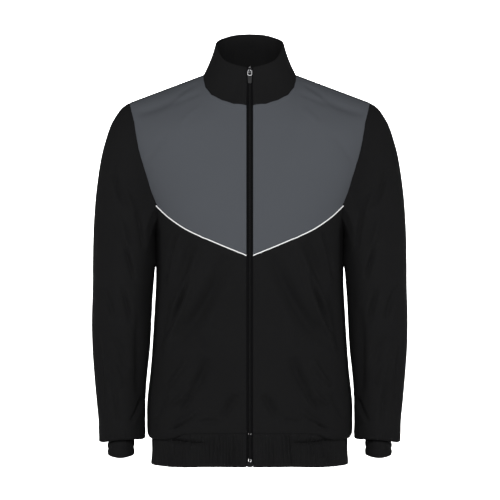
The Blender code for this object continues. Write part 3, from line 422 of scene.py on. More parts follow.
# Each fold: from x, z to x, z on the wearer's right, then bend, width and depth (below 0: a trough)
FRONT_FOLDS: tuple[Fold, ...] = (
    (-133, -289, -151, -369, 2, 4.5, -4.6), (-126, -286, -147, -389, 3, 4.5, 3.6),
    (-106, -300, -137, -391, -3, 8, -5.0), (-87, -304, -144, -436, -4, 6, 5.0),
    (-109, -358, -153, -473, -4, 4.2, -7.0), (-97, -351, -158, -502, -5, 5, 4.2),
    (-44, -331, -138, -494, -8, 14, -11.0), (-113, -520, -147, -571, -2, 5, 5.6),
    (-78, -516, -117, -591, -5, 10, -8.0), (-109, -569, -142, -605, -2, 4.6, 4.8),
    (-104, -582, -127, -615, -1, 5, -4.6), (-91, -609, -144, -645, -3, 5, 5.0),
    (-109, -629, -149, -652, -2, 3.5, -3.4), (-24, -584, -51, -631, 2, 8, -6.0),
    (-51, -633, -98, -638, 2, 5, -3.0), (-148, -400, -168, -520, 0, 7, -3.0),
    (-60, -420, -84, -500, 2, 12, 3.6), (-150, -580, -172, -630, 0, 6, -3.0),
    (-213, -72, -130, -41, 3, 8, -3.2), (-96, -16, -140, -46, 3, 4, -1.7), (-88, -34, -142, -58, 2, 4, -1.4),
    (-150, -110, -196, -172, 3, 7, -1.4), (-92, -62, -128, -96, 3, 5, 1.0),
)
BACK_FOLDS: tuple[Fold, ...] = (
    (-150, -310, -118, -440, 8, 12, -5.0), (-105, -360, -40, -470, -10, 15, -4.4),
    (-60, -300, -140, -400, 10, 14, 3.2), (-30, -560, -95, -640, 6, 12, -4.4),
    (-120, -560, -140, -640, 4, 12, 3.6), (-128, -300, -150, -392, 3, 5, -3.0),
    (-112, -372, -152, -486, -4, 4.5, -3.6), (-100, -540, -142, -596, -3, 5, 3.0),
    (-92, -600, -140, -640, -2, 4.5, 2.8), (-20, -150, -60, -230, 4, 11, -2.2),
)


def band_foot(x: Array) -> Array:
    """Height of the hem band's lower edge at some distances across."""
    return smooth_through(BAND_FOOT[:, 0], BAND_FOOT[:, 1], np.abs(x))


def fold_depth(folds: tuple[Fold, ...], x: Array, z: Array) -> Array:
    """How far folds move the cloth out (or in, below zero) at places seen from ahead.

    Args:
        folds: Rows of a fold table.
        x: Places across.
        z: Heights.

    Returns:
        Depth at each place.
    """
    moved = np.zeros(np.broadcast(x, z).shape)
    for from_x, from_z, to_x, to_z, bend, width, depth in folds:
        run_x, run_z = (to_x - from_x) * MM, (to_z - from_z) * MM
        length = math.hypot(run_x, run_z)
        ahead_x, ahead_z = x - from_x * MM, z - from_z * MM
        along = (ahead_x * run_x + ahead_z * run_z) / length ** 2
        t = np.clip(along, 0, 1)
        aside = (ahead_x * run_z - ahead_z * run_x) / length - bend * MM * 4 * t * (1 - t)
        fade = np.maximum(0, 1 - (2 * along - 1) ** 2) ** FOLD_FADE
        moved = moved + depth * MM * fade * bump(aside, width * MM)
    return FOLD_SCALE * moved


@dataclass
class Figure:
    """The worn body as one smooth surface, with the seams that lie on it."""

    neck_side: float = 86 * MM
    shoulder_tip: float = 222 * MM
    shoulder_slope: float = 0.375
    neck_slope: float = 0.6
    neck_ease: float = 30 * MM
    ridge_lift: float = 1.7 * MM
    shoulder_round: float = 95 * MM
    seam_ahead: float = 19.5 * MM
    back_neck_over: float = 74 * MM
    squareness: float = 2.6
    hem_tuck: float = 9 * MM
    hem_calm: float = 20 * MM

    def level(self, z: Array, number: int) -> Array:
        """Column of the torso table at some heights: 1 half width, 2 front depth, 3 back depth."""
        return smooth_through(TORSO[:, 0], TORSO[:, number], z)

    def ridge_height(self, x: Array) -> Array:
        """Height of the shoulder ridge, which falls outwards and is round at the centre line."""
        beside_neck = math.hypot(self.neck_side, self.neck_ease) - np.hypot(x, self.neck_ease)
        outwards = (self.neck_side - x) * self.shoulder_slope
        return self.ridge_lift + np.where(x > self.neck_side, outwards, beside_neck * self.neck_slope)

    def plain(self, turn: Array, over: Array) -> Array:
        """Points of the surface without folds.

        Args:
            turn: First number of each place.
            over: Second number of each place.

        Returns:
            Points in the frame.
        """
        power = self.squareness
        size = (np.abs(np.cos(turn)) ** power + np.abs(np.sin(turn)) ** power) ** (-1 / power)
        side, face = size * np.sin(turn), size * np.cos(turn)
        angle = np.clip(np.abs(over) / self.shoulder_round, 0, np.pi / 2)
        straight = np.maximum(np.abs(over) - self.shoulder_round * np.pi / 2, 0)
        drop = self.shoulder_round * (1 - np.cos(angle)) + straight
        x = self.level(-drop, 1) * side
        for _ in range(RIDGE_STEPS):
            x = self.level(self.ridge_height(x) - drop, 1) * side
        z = self.ridge_height(x) - drop
        depth = np.where(over < 0, self.level(z, 2), self.level(z, 3))
        return np.stack([x, depth * face * np.sign(over) * np.sin(angle), z], axis=-1)

    def normal(self, turn: Array, over: Array) -> Array:
        """Outward directions of the plain surface.

        Args:
            turn: First number of each place.
            over: Second number of each place.

        Returns:
            Directions of length one.
        """
        small_turn, small_over = 1e-3, 1e-4
        across = self.plain(turn + small_turn, over) - self.plain(turn - small_turn, over)
        along = self.plain(turn, over + small_over) - self.plain(turn, over - small_over)
        return unit(np.cross(across, along))

    def hem_height(self, x: Array, facing: int) -> Array:
        """Height of the hem seam, which rises in the middle of the front (facing -1)."""
        drop = smooth_step(np.abs(x), *HEM_STEP) if facing < 0 else np.ones_like(x)
        return HEM_CENTRE_Z + (HEM_SIDE_Z - HEM_CENTRE_Z) * drop

    def cloth(self, places: Array) -> Array:
        """Outside of the body's cloth with its folds and the tuck above the hem band.

        Args:
            places: Turn and over of each point.

        Returns:
            Points in the frame.
        """
        turn, over = places[..., 0], places[..., 1]
        plain = self.plain(turn, over)
        x, z = plain[..., 0], plain[..., 2]
        front = over < 0
        away = -np.abs(x)
        folds = np.where(front, fold_depth(FRONT_FOLDS, away, z), fold_depth(BACK_FOLDS, away, z))
        rise = z - np.where(front, self.hem_height(x, -1), self.hem_height(x, 1))
        amount = np.where(front, smooth_step(np.abs(x), *HEM_STEP), 1.0)
        tuck = smooth_through(HEM_TUCKS[:, 0] * MM, HEM_TUCKS[:, 1], rise)
        folds = folds * smooth_step(rise, 0, self.hem_calm)
        return plain + self.normal(turn, over) * (folds - self.hem_tuck * amount * tuck)[..., None]

    def place_share(self, share: Array, z: Array, facing: int) -> Array:
        """Turn and over of places given as shares of the half width at their heights.

        Args:
            share: Shares of the half width.
            z: Heights.
            facing: -1 in front, 1 behind.

        Returns:
            Places.
        """
        share = np.minimum(share, 1)
        drop = self.ridge_height(self.level(z, 1) * share) - z
        bent = self.shoulder_round * np.arccos(np.clip(1 - drop / self.shoulder_round, -1, 1))
        straight = self.shoulder_round * (np.pi / 2 - 1) + drop
        over = facing * np.where(drop < self.shoulder_round, bent, straight)
        face = np.maximum(1 - share ** self.squareness, 0) ** (1 / self.squareness)
        return np.stack([np.arctan2(share, face), over], axis=-1)

    def place(self, x: Array, z: Array, facing: int) -> Array:
        """Turn and over of places given as seen from ahead."""
        return self.place_share(x / self.level(z, 1), z, facing)

    def on_seam_line(self, x: Array) -> Array:
        """Places on the shoulder seam, which lies just ahead of the ridge.

        Args:
            x: Distances from the centre line.

        Returns:
            One place for each distance.
        """
        drop = self.shoulder_round * (1 - math.cos(self.seam_ahead / self.shoulder_round))
        places = self.place(x, self.ridge_height(x) - drop, -1)
        places[..., 1] = -self.seam_ahead
        return places

    def even(self, places: Array, count: int) -> Array:
        """The same path in equal steps of cloth."""
        run = run_length(self.plain(places[:, 0], places[:, 1]))
        return along_path(places, run, np.linspace(0, run[-1], count + 1))

    def share_along(self, places: Array) -> Array:
        """Share of a seam's length that lies before each of its points."""
        run = run_length(self.plain(places[:, 0], places[:, 1]))
        return run / run[-1]

    def fill(self, bottom: Array, top: Array, left: Array, right: Array) -> Array:
        """Grid of places between four edges.

        Args:
            bottom: Lower edge, from left to right.
            top: Upper edge, from left to right.
            left: Left edge, upwards.
            right: Right edge, upwards.

        Returns:
            Grid with its rows upwards.
        """
        v = (0.5 * (self.share_along(left) + self.share_along(right)))[:, None, None]
        u = (0.5 * (self.share_along(bottom) + self.share_along(top)))[None, :, None]
        ruled = (1 - v) * bottom[None] + v * top[None] + (1 - u) * left[:, None] + u * right[:, None]
        corners = ((1 - u) * (1 - v) * bottom[0] + u * (1 - v) * bottom[-1]
                   + (1 - u) * v * top[0] + u * v * top[-1])
        return ruled - corners


@dataclass
class Seams:
    """Seam lines on the figure, as places, with as many steps as the CAD model has."""

    figure: Figure

    # points along each seam before it is cut into even steps
    arm_points: int = 400
    shoulder_points: int = 60
    neck_points: int = 120
    back_neck_points: int = 80
    v_points: int = 200
    hem_points: int = 300

    # first guess for the hem's place below the ridge, and how often it is corrected
    hem_over: float = 0.7
    hem_steps: int = 6

    def armhole(self, facing: int, low: float, high: float, count: int) -> Array:
        """Armhole seam between two heights, upwards.

        Args:
            facing: -1 in front, 1 behind.
            low: Lowest height.
            high: Highest height.
            count: Number of steps.

        Returns:
            Places along the seam.
        """
        z = low + (high - low) * smooth_step(np.linspace(0, 1, self.arm_points), 0, 1)
        shares = smooth_through(ARMHOLE[:, 0] * MM, ARMHOLE[:, 1 if facing < 0 else 2], z)
        places = self.figure.place_share(shares, z, facing)
        if high > V_END_Z:
            tip = np.array([self.figure.shoulder_tip])
            places = np.vstack([places, self.figure.on_seam_line(tip)])
        return self.figure.even(places, count)

    def on_cloth(self, places: Array, cuts: int) -> Array:
        """Points of a seam on the worn cloth, with each of its steps cut further."""
        return self.figure.cloth(at_ticks(places, even_ticks(len(places) - 1, cuts)))

    def shoulder(self) -> Array:
        """Shoulder seam, from the neck outwards."""
        x = np.linspace(self.figure.neck_side, self.figure.shoulder_tip, self.shoulder_points)
        return self.figure.even(self.figure.on_seam_line(x), SHOULDER_COLUMNS)

    def at_zip(self, z: Array) -> Array:
        """Places on the front panels' zip edge."""
        return self.figure.place(np.full_like(z, PANEL_EDGE), z, -1)

    def front_neck(self) -> Array:
        """Front neckline, from the zip to the shoulder seam.

        Returns:
            Places, in order.
        """
        path = rounded_path(NECKLINE, self.neck_points)
        places = self.figure.place(path[:, 0], path[:, 1], -1)
        side = self.figure.on_seam_line(np.array([self.figure.neck_side]))
        places = np.vstack([places, side])
        ahead = self.figure.plain(places[:, 0], places[:, 1])[:, 0] > PANEL_EDGE
        return self.figure.even(np.vstack([self.at_zip(path[:1, 1]), places[ahead]]), NECK_COLUMNS)

    def back_neck(self) -> Array:
        """Back neckline, from the centre back to the shoulder seam.

        Returns:
            Places, in order.
        """
        figure = self.figure
        angle = np.linspace(np.pi / 2, 0, self.back_neck_points)
        over = -figure.seam_ahead + (figure.back_neck_over + figure.seam_ahead) * np.sin(angle)
        x = figure.neck_side * np.cos(angle)
        bend = np.clip(np.abs(over) / figure.shoulder_round, 0, np.pi / 2)
        places = figure.place(x, figure.ridge_height(x) - figure.shoulder_round * (1 - np.cos(bend)), 1)
        places[:, 1] = over
        places[-1] = figure.on_seam_line(np.array([figure.neck_side]))[0]
        return figure.even(places, BACK_NECK_COLUMNS)

    def v_line(self) -> Array:
        """V seam between a front and its yoke, from the zip to the armhole.

        Returns:
            Places, in order.
        """
        path = rounded_path(V_SEAM, self.v_points)
        start = self.at_zip(np.interp([PANEL_EDGE], path[:, 0], path[:, 1]))
        places = self.figure.place(path[:, 0], path[:, 1], -1)
        end = self.armhole(-1, UNDERARM_Z, V_END_Z, LOW_ARM_ROWS)[-1:]
        places = np.vstack([start, places[path[:, 0] > PANEL_EDGE][:-1], end])
        return self.figure.even(places, FRONT_COLUMNS)

    def hem(self, facing: int, count: int) -> Array:
        """Hem seam from the centre back, or from the zip, to the side.

        Args:
            facing: -1 in front, 1 behind.
            count: Number of steps.

        Returns:
            Places, in order.
        """
        turn = np.linspace(0, np.pi / 2, self.hem_points)
        over = np.full_like(turn, facing * self.hem_over)
        for _ in range(self.hem_steps):
            point = self.figure.plain(turn, over)
            over = over + facing * (point[:, 2] - self.figure.hem_height(point[:, 0], facing))
        places = np.stack([turn, over], axis=-1)
        if facing < 0:
            start = self.at_zip(np.array([HEM_CENTRE_Z]))
            places = np.vstack([start, places[turn > start[0, 0]]])
        return self.figure.even(places, count)

    def rise_from_hem(self, bottom: Array, top: Array, count: int) -> Array:
        """Heights of an edge from the hem up: the tuck's rows, then equal rows."""
        tucks = self.figure.plain(*bottom)[2] + HEM_TUCKS[:, 0] * MM
        high = self.figure.plain(*top)[2]
        return np.concatenate([tucks, np.linspace(tucks[-1], high, count + 1)[1:]])

    def side(self, facing: int) -> Array:
        """Side seam from the hem to the underarm.

        Args:
            facing: -1 in front, 1 behind.

        Returns:
            Places, in order.
        """
        top = self.figure.place_share(np.array([1.0]), np.array([UNDERARM_Z]), facing)[0]
        z = self.rise_from_hem(self.hem(facing, 4)[-1], top, SIDE_ROWS)
        places = self.figure.place_share(np.ones_like(z), z, facing)
        places[:, 0] = np.pi / 2
        return places

    def centre_back(self) -> Array:
        """Centre back line from the hem to the neckline.

        Returns:
            Places, in order.
        """
        tuck = self.hem(1, BACK_COLUMNS)[0, 1] - HEM_TUCKS[:, 0] * MM
        rest = np.linspace(tuck[-1], self.back_neck()[0, 1], SIDE_ROWS + BACK_ARM_ROWS + 1)[1:]
        over = np.concatenate([tuck, rest])
        return np.stack([np.zeros_like(over), over], axis=-1)

    def front_grid(self) -> Array:
        """Places of the left front, below the V seam.

        Returns:
            Grid with its rows upwards.
        """
        low_arm = self.armhole(-1, UNDERARM_Z, V_END_Z, LOW_ARM_ROWS)
        right = np.vstack([self.side(-1), low_arm[1:]])
        bottom = self.at_zip(np.array([HEM_CENTRE_Z]))[0]
        rows = self.rise_from_hem(bottom, self.v_line()[0], SIDE_ROWS + LOW_ARM_ROWS)
        return self.figure.fill(self.hem(-1, FRONT_COLUMNS), self.v_line(), self.at_zip(rows), right)

    def yoke_grid(self) -> Array:
        """Places of the left front yoke.

        Returns:
            Grid with its rows upwards.
        """
        top = np.vstack([self.front_neck(), self.shoulder()[1:]])
        right = self.armhole(-1, V_END_Z, SHOULDER_Z, YOKE_ARM_ROWS)
        right[0] = self.v_line()[-1]
        low, high = (self.figure.plain(*seam[0])[2] for seam in (self.v_line(), self.front_neck()))
        edge = self.at_zip(np.linspace(low, high, YOKE_ARM_ROWS + 1))
        return self.figure.fill(self.v_line(), top, edge, right)

    def back_grid(self) -> Array:
        """Places of the left half of the back, columns from the centre back to the side.

        Returns:
            Grid with its rows upwards.
        """
        top = np.vstack([self.back_neck(), self.shoulder()[1:]])
        arm = self.armhole(1, UNDERARM_Z, SHOULDER_Z, BACK_ARM_ROWS)
        right = np.vstack([self.side(1), arm[1:]])
        return self.figure.fill(self.hem(1, BACK_COLUMNS), top, self.centre_back(), right)


# --- cloth as thin walls


@dataclass
class Wall:
    """Thin wall of cloth behind an outside grid, closed all round with rounded edges."""

    name: str
    outer: Array
    cloth: float = BODY_CLOTH
    closed: bool = False
    gap: float = -SEAM_LAP
    seam_dip: float = 0.55 * MM
    seam_width: float = 1.7 * MM
    pucker: float = 0.25 * MM
    pucker_size: float = 7 * MM
    pucker_reach: float = 5 * MM
    edge_round: float = 0.22

    def drawn_back(self, grid: Array, facing: Array, by: float) -> Array:
        """The grid with its edges drawn back squarely from the seams.

        Args:
            grid: Points of one side of the wall.
            facing: Outward directions.
            by: Distance that the edges move.

        Returns:
            The moved grid.
        """
        result = grid.copy()
        for row, sign in ((0, 1), (-1, -1)):
            if self.closed:
                run = np.roll(grid[row], -1, axis=0) - np.roll(grid[row], 1, axis=0)
            else:
                run = np.gradient(grid[row], axis=0)
            result[row] += sign * by * unit(np.cross(facing[row], unit(run)))
        if not self.closed:
            for column, sign in ((0, 1), (-1, -1)):
                run = unit(np.gradient(grid[:, column], axis=0))
                result[:, column] += sign * by * unit(np.cross(run, facing[:, column]))
        return result

    def perimeter(self) -> list[list[tuple[int, int]]]:
        """Rows and columns along the edges, anticlockwise as seen from outside.

        Returns:
            One closed loop, or two where the wall is a tube.
        """
        rows, columns = self.outer.shape[:2]
        if self.closed:
            low = [(0, j) for j in range(columns)]
            return [low, [(rows - 1, j) for j in reversed(range(columns))]]
        loop = [(0, j) for j in range(columns)] + [(i, columns - 1) for i in range(1, rows)]
        loop += [(rows - 1, j) for j in reversed(range(columns - 1))]
        return [loop + [(i, 0) for i in reversed(range(1, rows - 1))]]

    def grain(self) -> Array:
        """Place of each point on the flat cloth, in metres across and up.

        Returns:
            Two numbers for each point.
        """
        grid = self.outer
        across = np.linalg.norm(np.diff(grid, axis=1), axis=-1).mean(axis=0)
        up = np.linalg.norm(np.diff(grid, axis=0), axis=-1)
        u = np.concatenate([[0], np.cumsum(across)])
        v = np.concatenate([np.zeros((1, grid.shape[1])), np.cumsum(up, axis=0)])
        return np.stack([np.broadcast_to(u - u.mean(), v.shape), v], axis=-1)

    def build(self) -> Thing:
        """Makes the wall's mesh and object.

        Returns:
            The piece, in the garment's frame.
        """
        facing = grid_normals(self.outer, self.closed)
        near = edge_distance(self.outer, self.closed)
        lift = -self.seam_dip * bump(near, self.seam_width)
        lift += self.pucker * ripple(self.outer, self.pucker_size, 3.1) * bump(near, self.pucker_reach)
        grain = self.grain()
        outside = self.outer + facing * lift[..., None]
        behind = outside - facing * self.cloth
        middle = self.drawn_back((outside + behind) / 2, facing, self.gap)
        round_by = self.gap + self.cloth * self.edge_round
        outside = self.drawn_back(outside, facing, round_by)
        behind = self.drawn_back(behind, facing, round_by)

        rows, columns = self.outer.shape[:2]
        index = np.arange(rows * columns).reshape(rows, columns)
        if self.closed:
            index = np.concatenate([index, index[:, :1]], axis=1)
        a, b, c, d = index[:-1, :-1], index[:-1, 1:], index[1:, 1:], index[1:, :-1]
        total = rows * columns
        faces = np.stack([a, b, c, d], axis=-1).reshape(-1, 4).tolist()
        faces += (np.stack([a, d, c, b], axis=-1) + total).reshape(-1, 4).tolist()
        points = [outside.reshape(-1, 3), behind.reshape(-1, 3)]
        flat = [grain.reshape(-1, 2)] * 2
        start = 2 * total
        for loop in self.perimeter():
            spots = np.array(loop)
            points.append(middle[spots[:, 0], spots[:, 1]])
            flat.append(grain[spots[:, 0], spots[:, 1]])
            edge = spots[:, 0] * columns + spots[:, 1]
            rim = start + np.arange(len(loop))
            edge2, rim2 = np.roll(edge, -1), np.roll(rim, -1)
            faces += np.stack([edge2, edge, rim, rim2], axis=-1).tolist()
            faces += np.stack([rim2, rim, edge + total, edge2 + total], axis=-1).tolist()
            start += len(loop)
        return make_object(self.name, np.vstack(points), faces, np.vstack(flat))


def add_object(name: str, data: bpy.types.ID) -> Thing:
    """Object with some data, linked to the scene."""
    thing = bpy.data.objects.new(name, data)
    bpy.context.scene.collection.objects.link(thing)
    return thing


def face_outward(data: bpy.types.Mesh, weld: float = 0.0) -> None:
    """Turns a mesh's faces outward, after it welds points closer than a distance.

    Args:
        data: The mesh.
        weld: The distance, or 0 for no welding.
    """
    mesh = bmesh.new()
    mesh.from_mesh(data)
    if weld:
        bmesh.ops.remove_doubles(mesh, verts=mesh.verts, dist=weld)
    bmesh.ops.recalc_face_normals(mesh, faces=mesh.faces)
    mesh.to_mesh(data)
    mesh.free()


def baked(maker: Thing, name: str) -> bpy.types.Mesh:
    """Smooth mesh of what an object's curve or modifiers make, in place of that object.

    Args:
        maker: The object, which is removed.
        name: Name of the mesh.

    Returns:
        The mesh.
    """
    graph = bpy.context.evaluated_depsgraph_get()
    data = bpy.data.meshes.new_from_object(maker.evaluated_get(graph))
    maker.modifiers.clear()
    bpy.data.objects.remove(maker)
    data.name = name
    data.shade_smooth()
    return data


def make_object(name: str, points: Array, faces: list, grain: Array | None = None) -> Thing:
    """Smooth-shaded mesh object in the garment's frame.

    Args:
        name: Name of the piece.
        points: Its points.
        faces: Point numbers of each face.
        grain: Place of each point on the flat cloth, where it has one.

    Returns:
        The object.
    """
    mesh = bpy.data.meshes.new(name)
    mesh.from_pydata(points.tolist(), [], faces)
    mesh.update()
    if grain is not None:
        corner = np.zeros(len(mesh.loops), int)
        mesh.loops.foreach_get("vertex_index", corner)
        flat = grain[corner]
        sides = np.array([len(face) for face in faces])
        first = np.repeat(flat[np.cumsum(sides) - sides, 0], sides)
        width = grain[:, 0].max() - grain[:, 0].min()
        jump = flat[:, 0] - first
        flat[:, 0] -= np.where(jump > width / 2, width, np.where(jump < -width / 2, -width, 0))
        layer = mesh.uv_layers.new(name="cloth")
        layer.data.foreach_set("uv", flat.astype(np.float32).ravel())
    mesh.shade_smooth()
    mesh.set_sharp_from_angle(angle=CLOTH_CREASE)
    return add_object(name, mesh)


@dataclass
class Cut:
    """Flat size of a cut piece, in metres, and its area where it isn't a rectangle."""

    width: float
    length: float
    area: float
    hold: Hold = Hold.HUNG


def dress(piece: Thing, node: str, finish: Finish | None = None,
          body: str = GARMENT) -> None:
    """Gives a piece its finish and its place in the model.

    Args:
        piece: The finished piece.
        node: CAD node that it stands for.
        finish: Its material, where it has only one.
        body: Body that it moves with.
    """
    if finish:
        piece.data.materials.clear()
        piece.data.materials.append(finish)
    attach(piece, body)
    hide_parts(node)
    LOG.info("%s: %d faces", piece.name, len(piece.data.polygons))


# --- body panels

TUCK_TICKS = np.concatenate([(0, 0.12, 0.28), np.arange(0.5, HEM_TUCK_ROWS, 0.25)])


@dataclass
class BodyPanels:
    """Back, fronts and yokes."""

    seams: Seams
    row_cuts: int = 12
    yoke_row_cuts: int = 9
    back_row_cuts: int = 9
    column_cuts: int = 8
    back_column_cuts: int = 6

    def rows(self, cells: int, cuts: int) -> Array:
        """Row numbers from the hem up, close together in the tuck and at the upper seam."""
        above = HEM_TUCK_ROWS + even_ticks(cells - HEM_TUCK_ROWS, cuts)
        near_top = cells - NEAR_EDGE / cuts
        return np.sort(np.concatenate([TUCK_TICKS, above, near_top]))

    def points(self, places: Array, rows: Array, columns: Array) -> Array:
        """Fine grid of a panel.

        Args:
            places: The panel's places at the CAD model's steps.
            rows: Row numbers of the fine grid.
            columns: Column numbers of the fine grid.

        Returns:
            Points on the outside of the cloth.
        """
        fine = at_ticks(places, rows)
        fine = np.swapaxes(at_ticks(np.swapaxes(fine, 0, 1), columns), 0, 1)
        return self.seams.figure.cloth(fine)

    def front(self) -> Array:
        """Outside of the left front."""
        places = self.seams.front_grid()
        rows = self.rows(len(places) - 1, self.row_cuts)
        return self.points(places, rows, edge_ticks(FRONT_COLUMNS, self.column_cuts))

    def yoke(self) -> Array:
        """Outside of the left yoke."""
        rows = edge_ticks(YOKE_ARM_ROWS, self.yoke_row_cuts)
        return self.points(self.seams.yoke_grid(), rows, edge_ticks(FRONT_COLUMNS, self.column_cuts))

    def back(self) -> Array:
        """Outside of the back, from the wearer's left side to the right.

        Returns:
            Grid with its rows upwards.
        """
        places = self.seams.back_grid()
        rows = self.rows(len(places) - 1, self.back_row_cuts)
        columns = edge_ticks(BACK_COLUMNS, self.back_column_cuts)[4:]
        columns[0] = 0
        half = self.points(places, rows, np.unique(columns))
        half[:, 0, 0] = 0
        return np.concatenate([half[:, ::-1], half[:, 1:] * MIRROR], axis=1)


@dataclass
class Sleeve:
    """One set-in sleeve, from its cuff seam up to the armhole."""

    seams: Seams
    cuts: int = 7
    row_cuts: int = 10
    cuff_x: float = 237.4 * MM
    cuff_y: float = -20 * MM
    cuff_half_width: float = 23.6 * MM
    cuff_half_depth: float = 37 * MM
    cuff_seam_z: float = -672.5 * MM
    cuff_seam_tilt: float = 2.8 * MM
    cuff_seam_arch: float = 4 * MM
    foot_z: float = -640 * MM
    cap_fullness: float = 0.63
    underarm_fullness: float = 0.22
    cap_shares: tuple[float, ...] = (0.78, 0.57, 0.37, 0.19, 0.06, 0.0)
    plain_rows: int = 10

    # rows between two rings: at the seam, in the tuck, at its end, in the cap and at the armhole
    seam_cuts: int = 2
    tuck_cuts: int = 3
    last_tuck_cuts: int = 5
    cap_cuts: int = 8
    top_cuts: int = 4

    # how steeply the cap leaves the armhole: in all, more on the inner side, more before and behind
    cap_drop: float = 0.375
    cap_inner_drop: float = 0.075
    cap_side_drop: float = 0.43
    cap_side_ease: float = 0.4
    top_step: float = 10

    touch_width: float = 0.35
    cuff_calm: tuple[float, float] = (6 * MM, 25 * MM)
    seam_calm: float = 25 * MM
    gather_seed: int = 11
    gather_count: int = 26

    # z, centre x, half width, centre y, half depth
    levels: tuple[tuple[float, ...], ...] = (
        (-345, 231.6, 57.9, -20, 69), (-396, 234.0, 55.9, -19, 67), (-451, 236.2, 55.3, -17, 64),
        (-507, 237.2, 53.0, -17, 60), (-562, 238.0, 48.0, -18, 56), (-618, 236.6, 44.4, -19, 51),
        (-655, 235.2, 42.9, -20, 49))
    tucks: tuple[tuple[float, float], ...] = ((-1.0, 0.55), (-0.9, 0.25), (1.2, 0.07), (8, 0))
    folds: tuple[Fold, ...] = (
        (253, -166, 229, -238, -3, 5, -5.2), (229, -212, 209, -258, 0, 5, 4.2),
        (207, -245, 194, -322, 2, 5, -4.4), (231, -307, 211, -377, 2, 4.5, -5.2),
        (240, -260, 224, -322, 2, 5.5, 4.0), (271, -388, 249, -454, 3, 6, -4.6),
        (233, -391, 216, -457, 2, 5.5, -5.0), (203, -428, 205, -593, 0, 7, -4.4),
        (196, -591, 218, -637, 3, 4, -6.2), (202, -606, 214, -641, 2, 5, 1.8),
        (280, -468, 268, -633, 2, 6, -3.6), (253, -560, 242, -645, 2, 6, -4.0),
        (250, -480, 226, -540, 4, 9, -4.4), (258, -520, 236, -575, 4, 6, 3.6))
    # height, how far the inner side comes in against the body
    touch: tuple[tuple[float, float], ...] = (
        (-262, 0.0), (-272, 1.6), (-284, 1.6), (-296, 1.4), (-308, 2.6),
        (-320, 1.9), (-330, 1.5), (-340, 1.2), (-350, 1.3), (-360, 0.0))

    @property
    def angle(self) -> Array:
        """Turn of each column round the sleeve, from its inner side round the front."""
        return np.linspace(0, 2 * np.pi, 2 * BACK_ARM_ROWS * self.cuts, endpoint=False)

    def ring(self, z: float) -> Array:
        """Level ring of the sleeve."""
        table = np.array(self.levels) * MM
        x, width, y, depth = (smooth_through(table[:, 0], table[:, k], np.array(z)) for k in (1, 2, 3, 4))
        return oval(self.angle, x, y, width, depth, z)

    def cuff_seam(self, angle: Array) -> Array:
        """Seam between the sleeve and its cuff, at some turns."""
        z = self.cuff_seam_z + self.cuff_seam_tilt * np.cos(angle) + self.cuff_seam_arch * np.sin(angle) ** 2
        return oval(angle, self.cuff_x, self.cuff_y, self.cuff_half_width, self.cuff_half_depth, z)

    def armhole(self) -> Array:
        """Armhole seam as the sleeve meets it: up the front, over the shoulder, down the back.

        Returns:
            One point for each column of the sleeve.
        """
        front = self.seams.armhole(-1, UNDERARM_Z, V_END_Z, LOW_ARM_ROWS)
        yoke = self.seams.armhole(-1, V_END_Z, SHOULDER_Z, YOKE_ARM_ROWS)
        yoke[0] = front[-1]
        back = self.seams.armhole(1, UNDERARM_Z, SHOULDER_Z, BACK_ARM_ROWS)[::-1]
        low, up, down = (self.seams.on_cloth(line, self.cuts) for line in (front, yoke, back))
        return np.vstack([low, up[1:], down[1:-1]])

    def plain(self) -> Array:
        """Outside of the left sleeve without its folds.

        Returns:
            Grid with its rows upwards.
        """
        angle = self.angle
        tight, full = self.cuff_seam(angle), self.ring(self.levels[-1][0] * MM)
        rows, cuts = [tight], [self.seam_cuts]
        for rise, share in self.tucks:
            ring = full + (tight - full) * share
            ring[:, 2] = tight[:, 2] + rise * MM
            rows.append(ring)
            cuts.append(self.tuck_cuts)
        cuts[-1] = self.last_tuck_cuts
        for z in np.linspace(self.foot_z, self.levels[0][0] * MM, self.plain_rows):
            rows.append(self.ring(z))
            cuts.append(self.row_cuts)
        seam, top = self.armhole(), rows[-1]
        reach = np.linalg.norm(top - seam, axis=1)[:, None]
        side = np.sin(angle) ** 2
        down = self.cap_drop - self.cap_inner_drop * np.cos(angle) + self.cap_side_drop * side
        outer = smooth_step(-np.cos(angle), -1, 0)
        fullness = self.underarm_fullness + (self.cap_fullness - self.underarm_fullness) * outer
        start = unit(np.stack([1 - self.cap_side_ease * side, 0 * side, -down], axis=-1))
        start = start * reach * fullness[:, None]
        end = unit(self.ring((self.levels[0][0] - self.top_step) * MM) - top) * reach
        for t in self.cap_shares:
            rows.append(hermite(t, seam, start, top, end))
            cuts.append(self.cap_cuts)
        last = len(rows) - 1
        ticks = [i + np.arange(n) / n for i, n in enumerate(cuts[:-1])]
        ticks += [[last], last - NEAR_EDGE / self.top_cuts]
        return curved_rows(np.array(rows), np.unique(np.concatenate(ticks)))

    def creased(self) -> Array:
        """Outside of the left sleeve with its folds and the gathers above the cuff.

        Returns:
            Grid with its rows upwards.
        """
        grid = self.plain()
        table = np.array(self.touch) * MM
        inner = bump(np.sin(self.angle / 2), self.touch_width)
        grid[..., 0] -= smooth_through(table[:, 0], table[:, 1], grid[..., 2]) * inner
        outward = grid_normals(grid, closed=True)
        depth = fold_depth(self.folds, grid[..., 0], grid[..., 2])
        rise = grid[..., 2] - self.cuff_seam(self.angle)[:, 2]
        below_seam = np.linalg.norm(grid - grid[-1], axis=-1)
        depth *= smooth_step(rise, *self.cuff_calm) * smooth_step(below_seam, 0, self.seam_calm)
        return grid + outward * (depth + self.gathers(rise))[..., None]

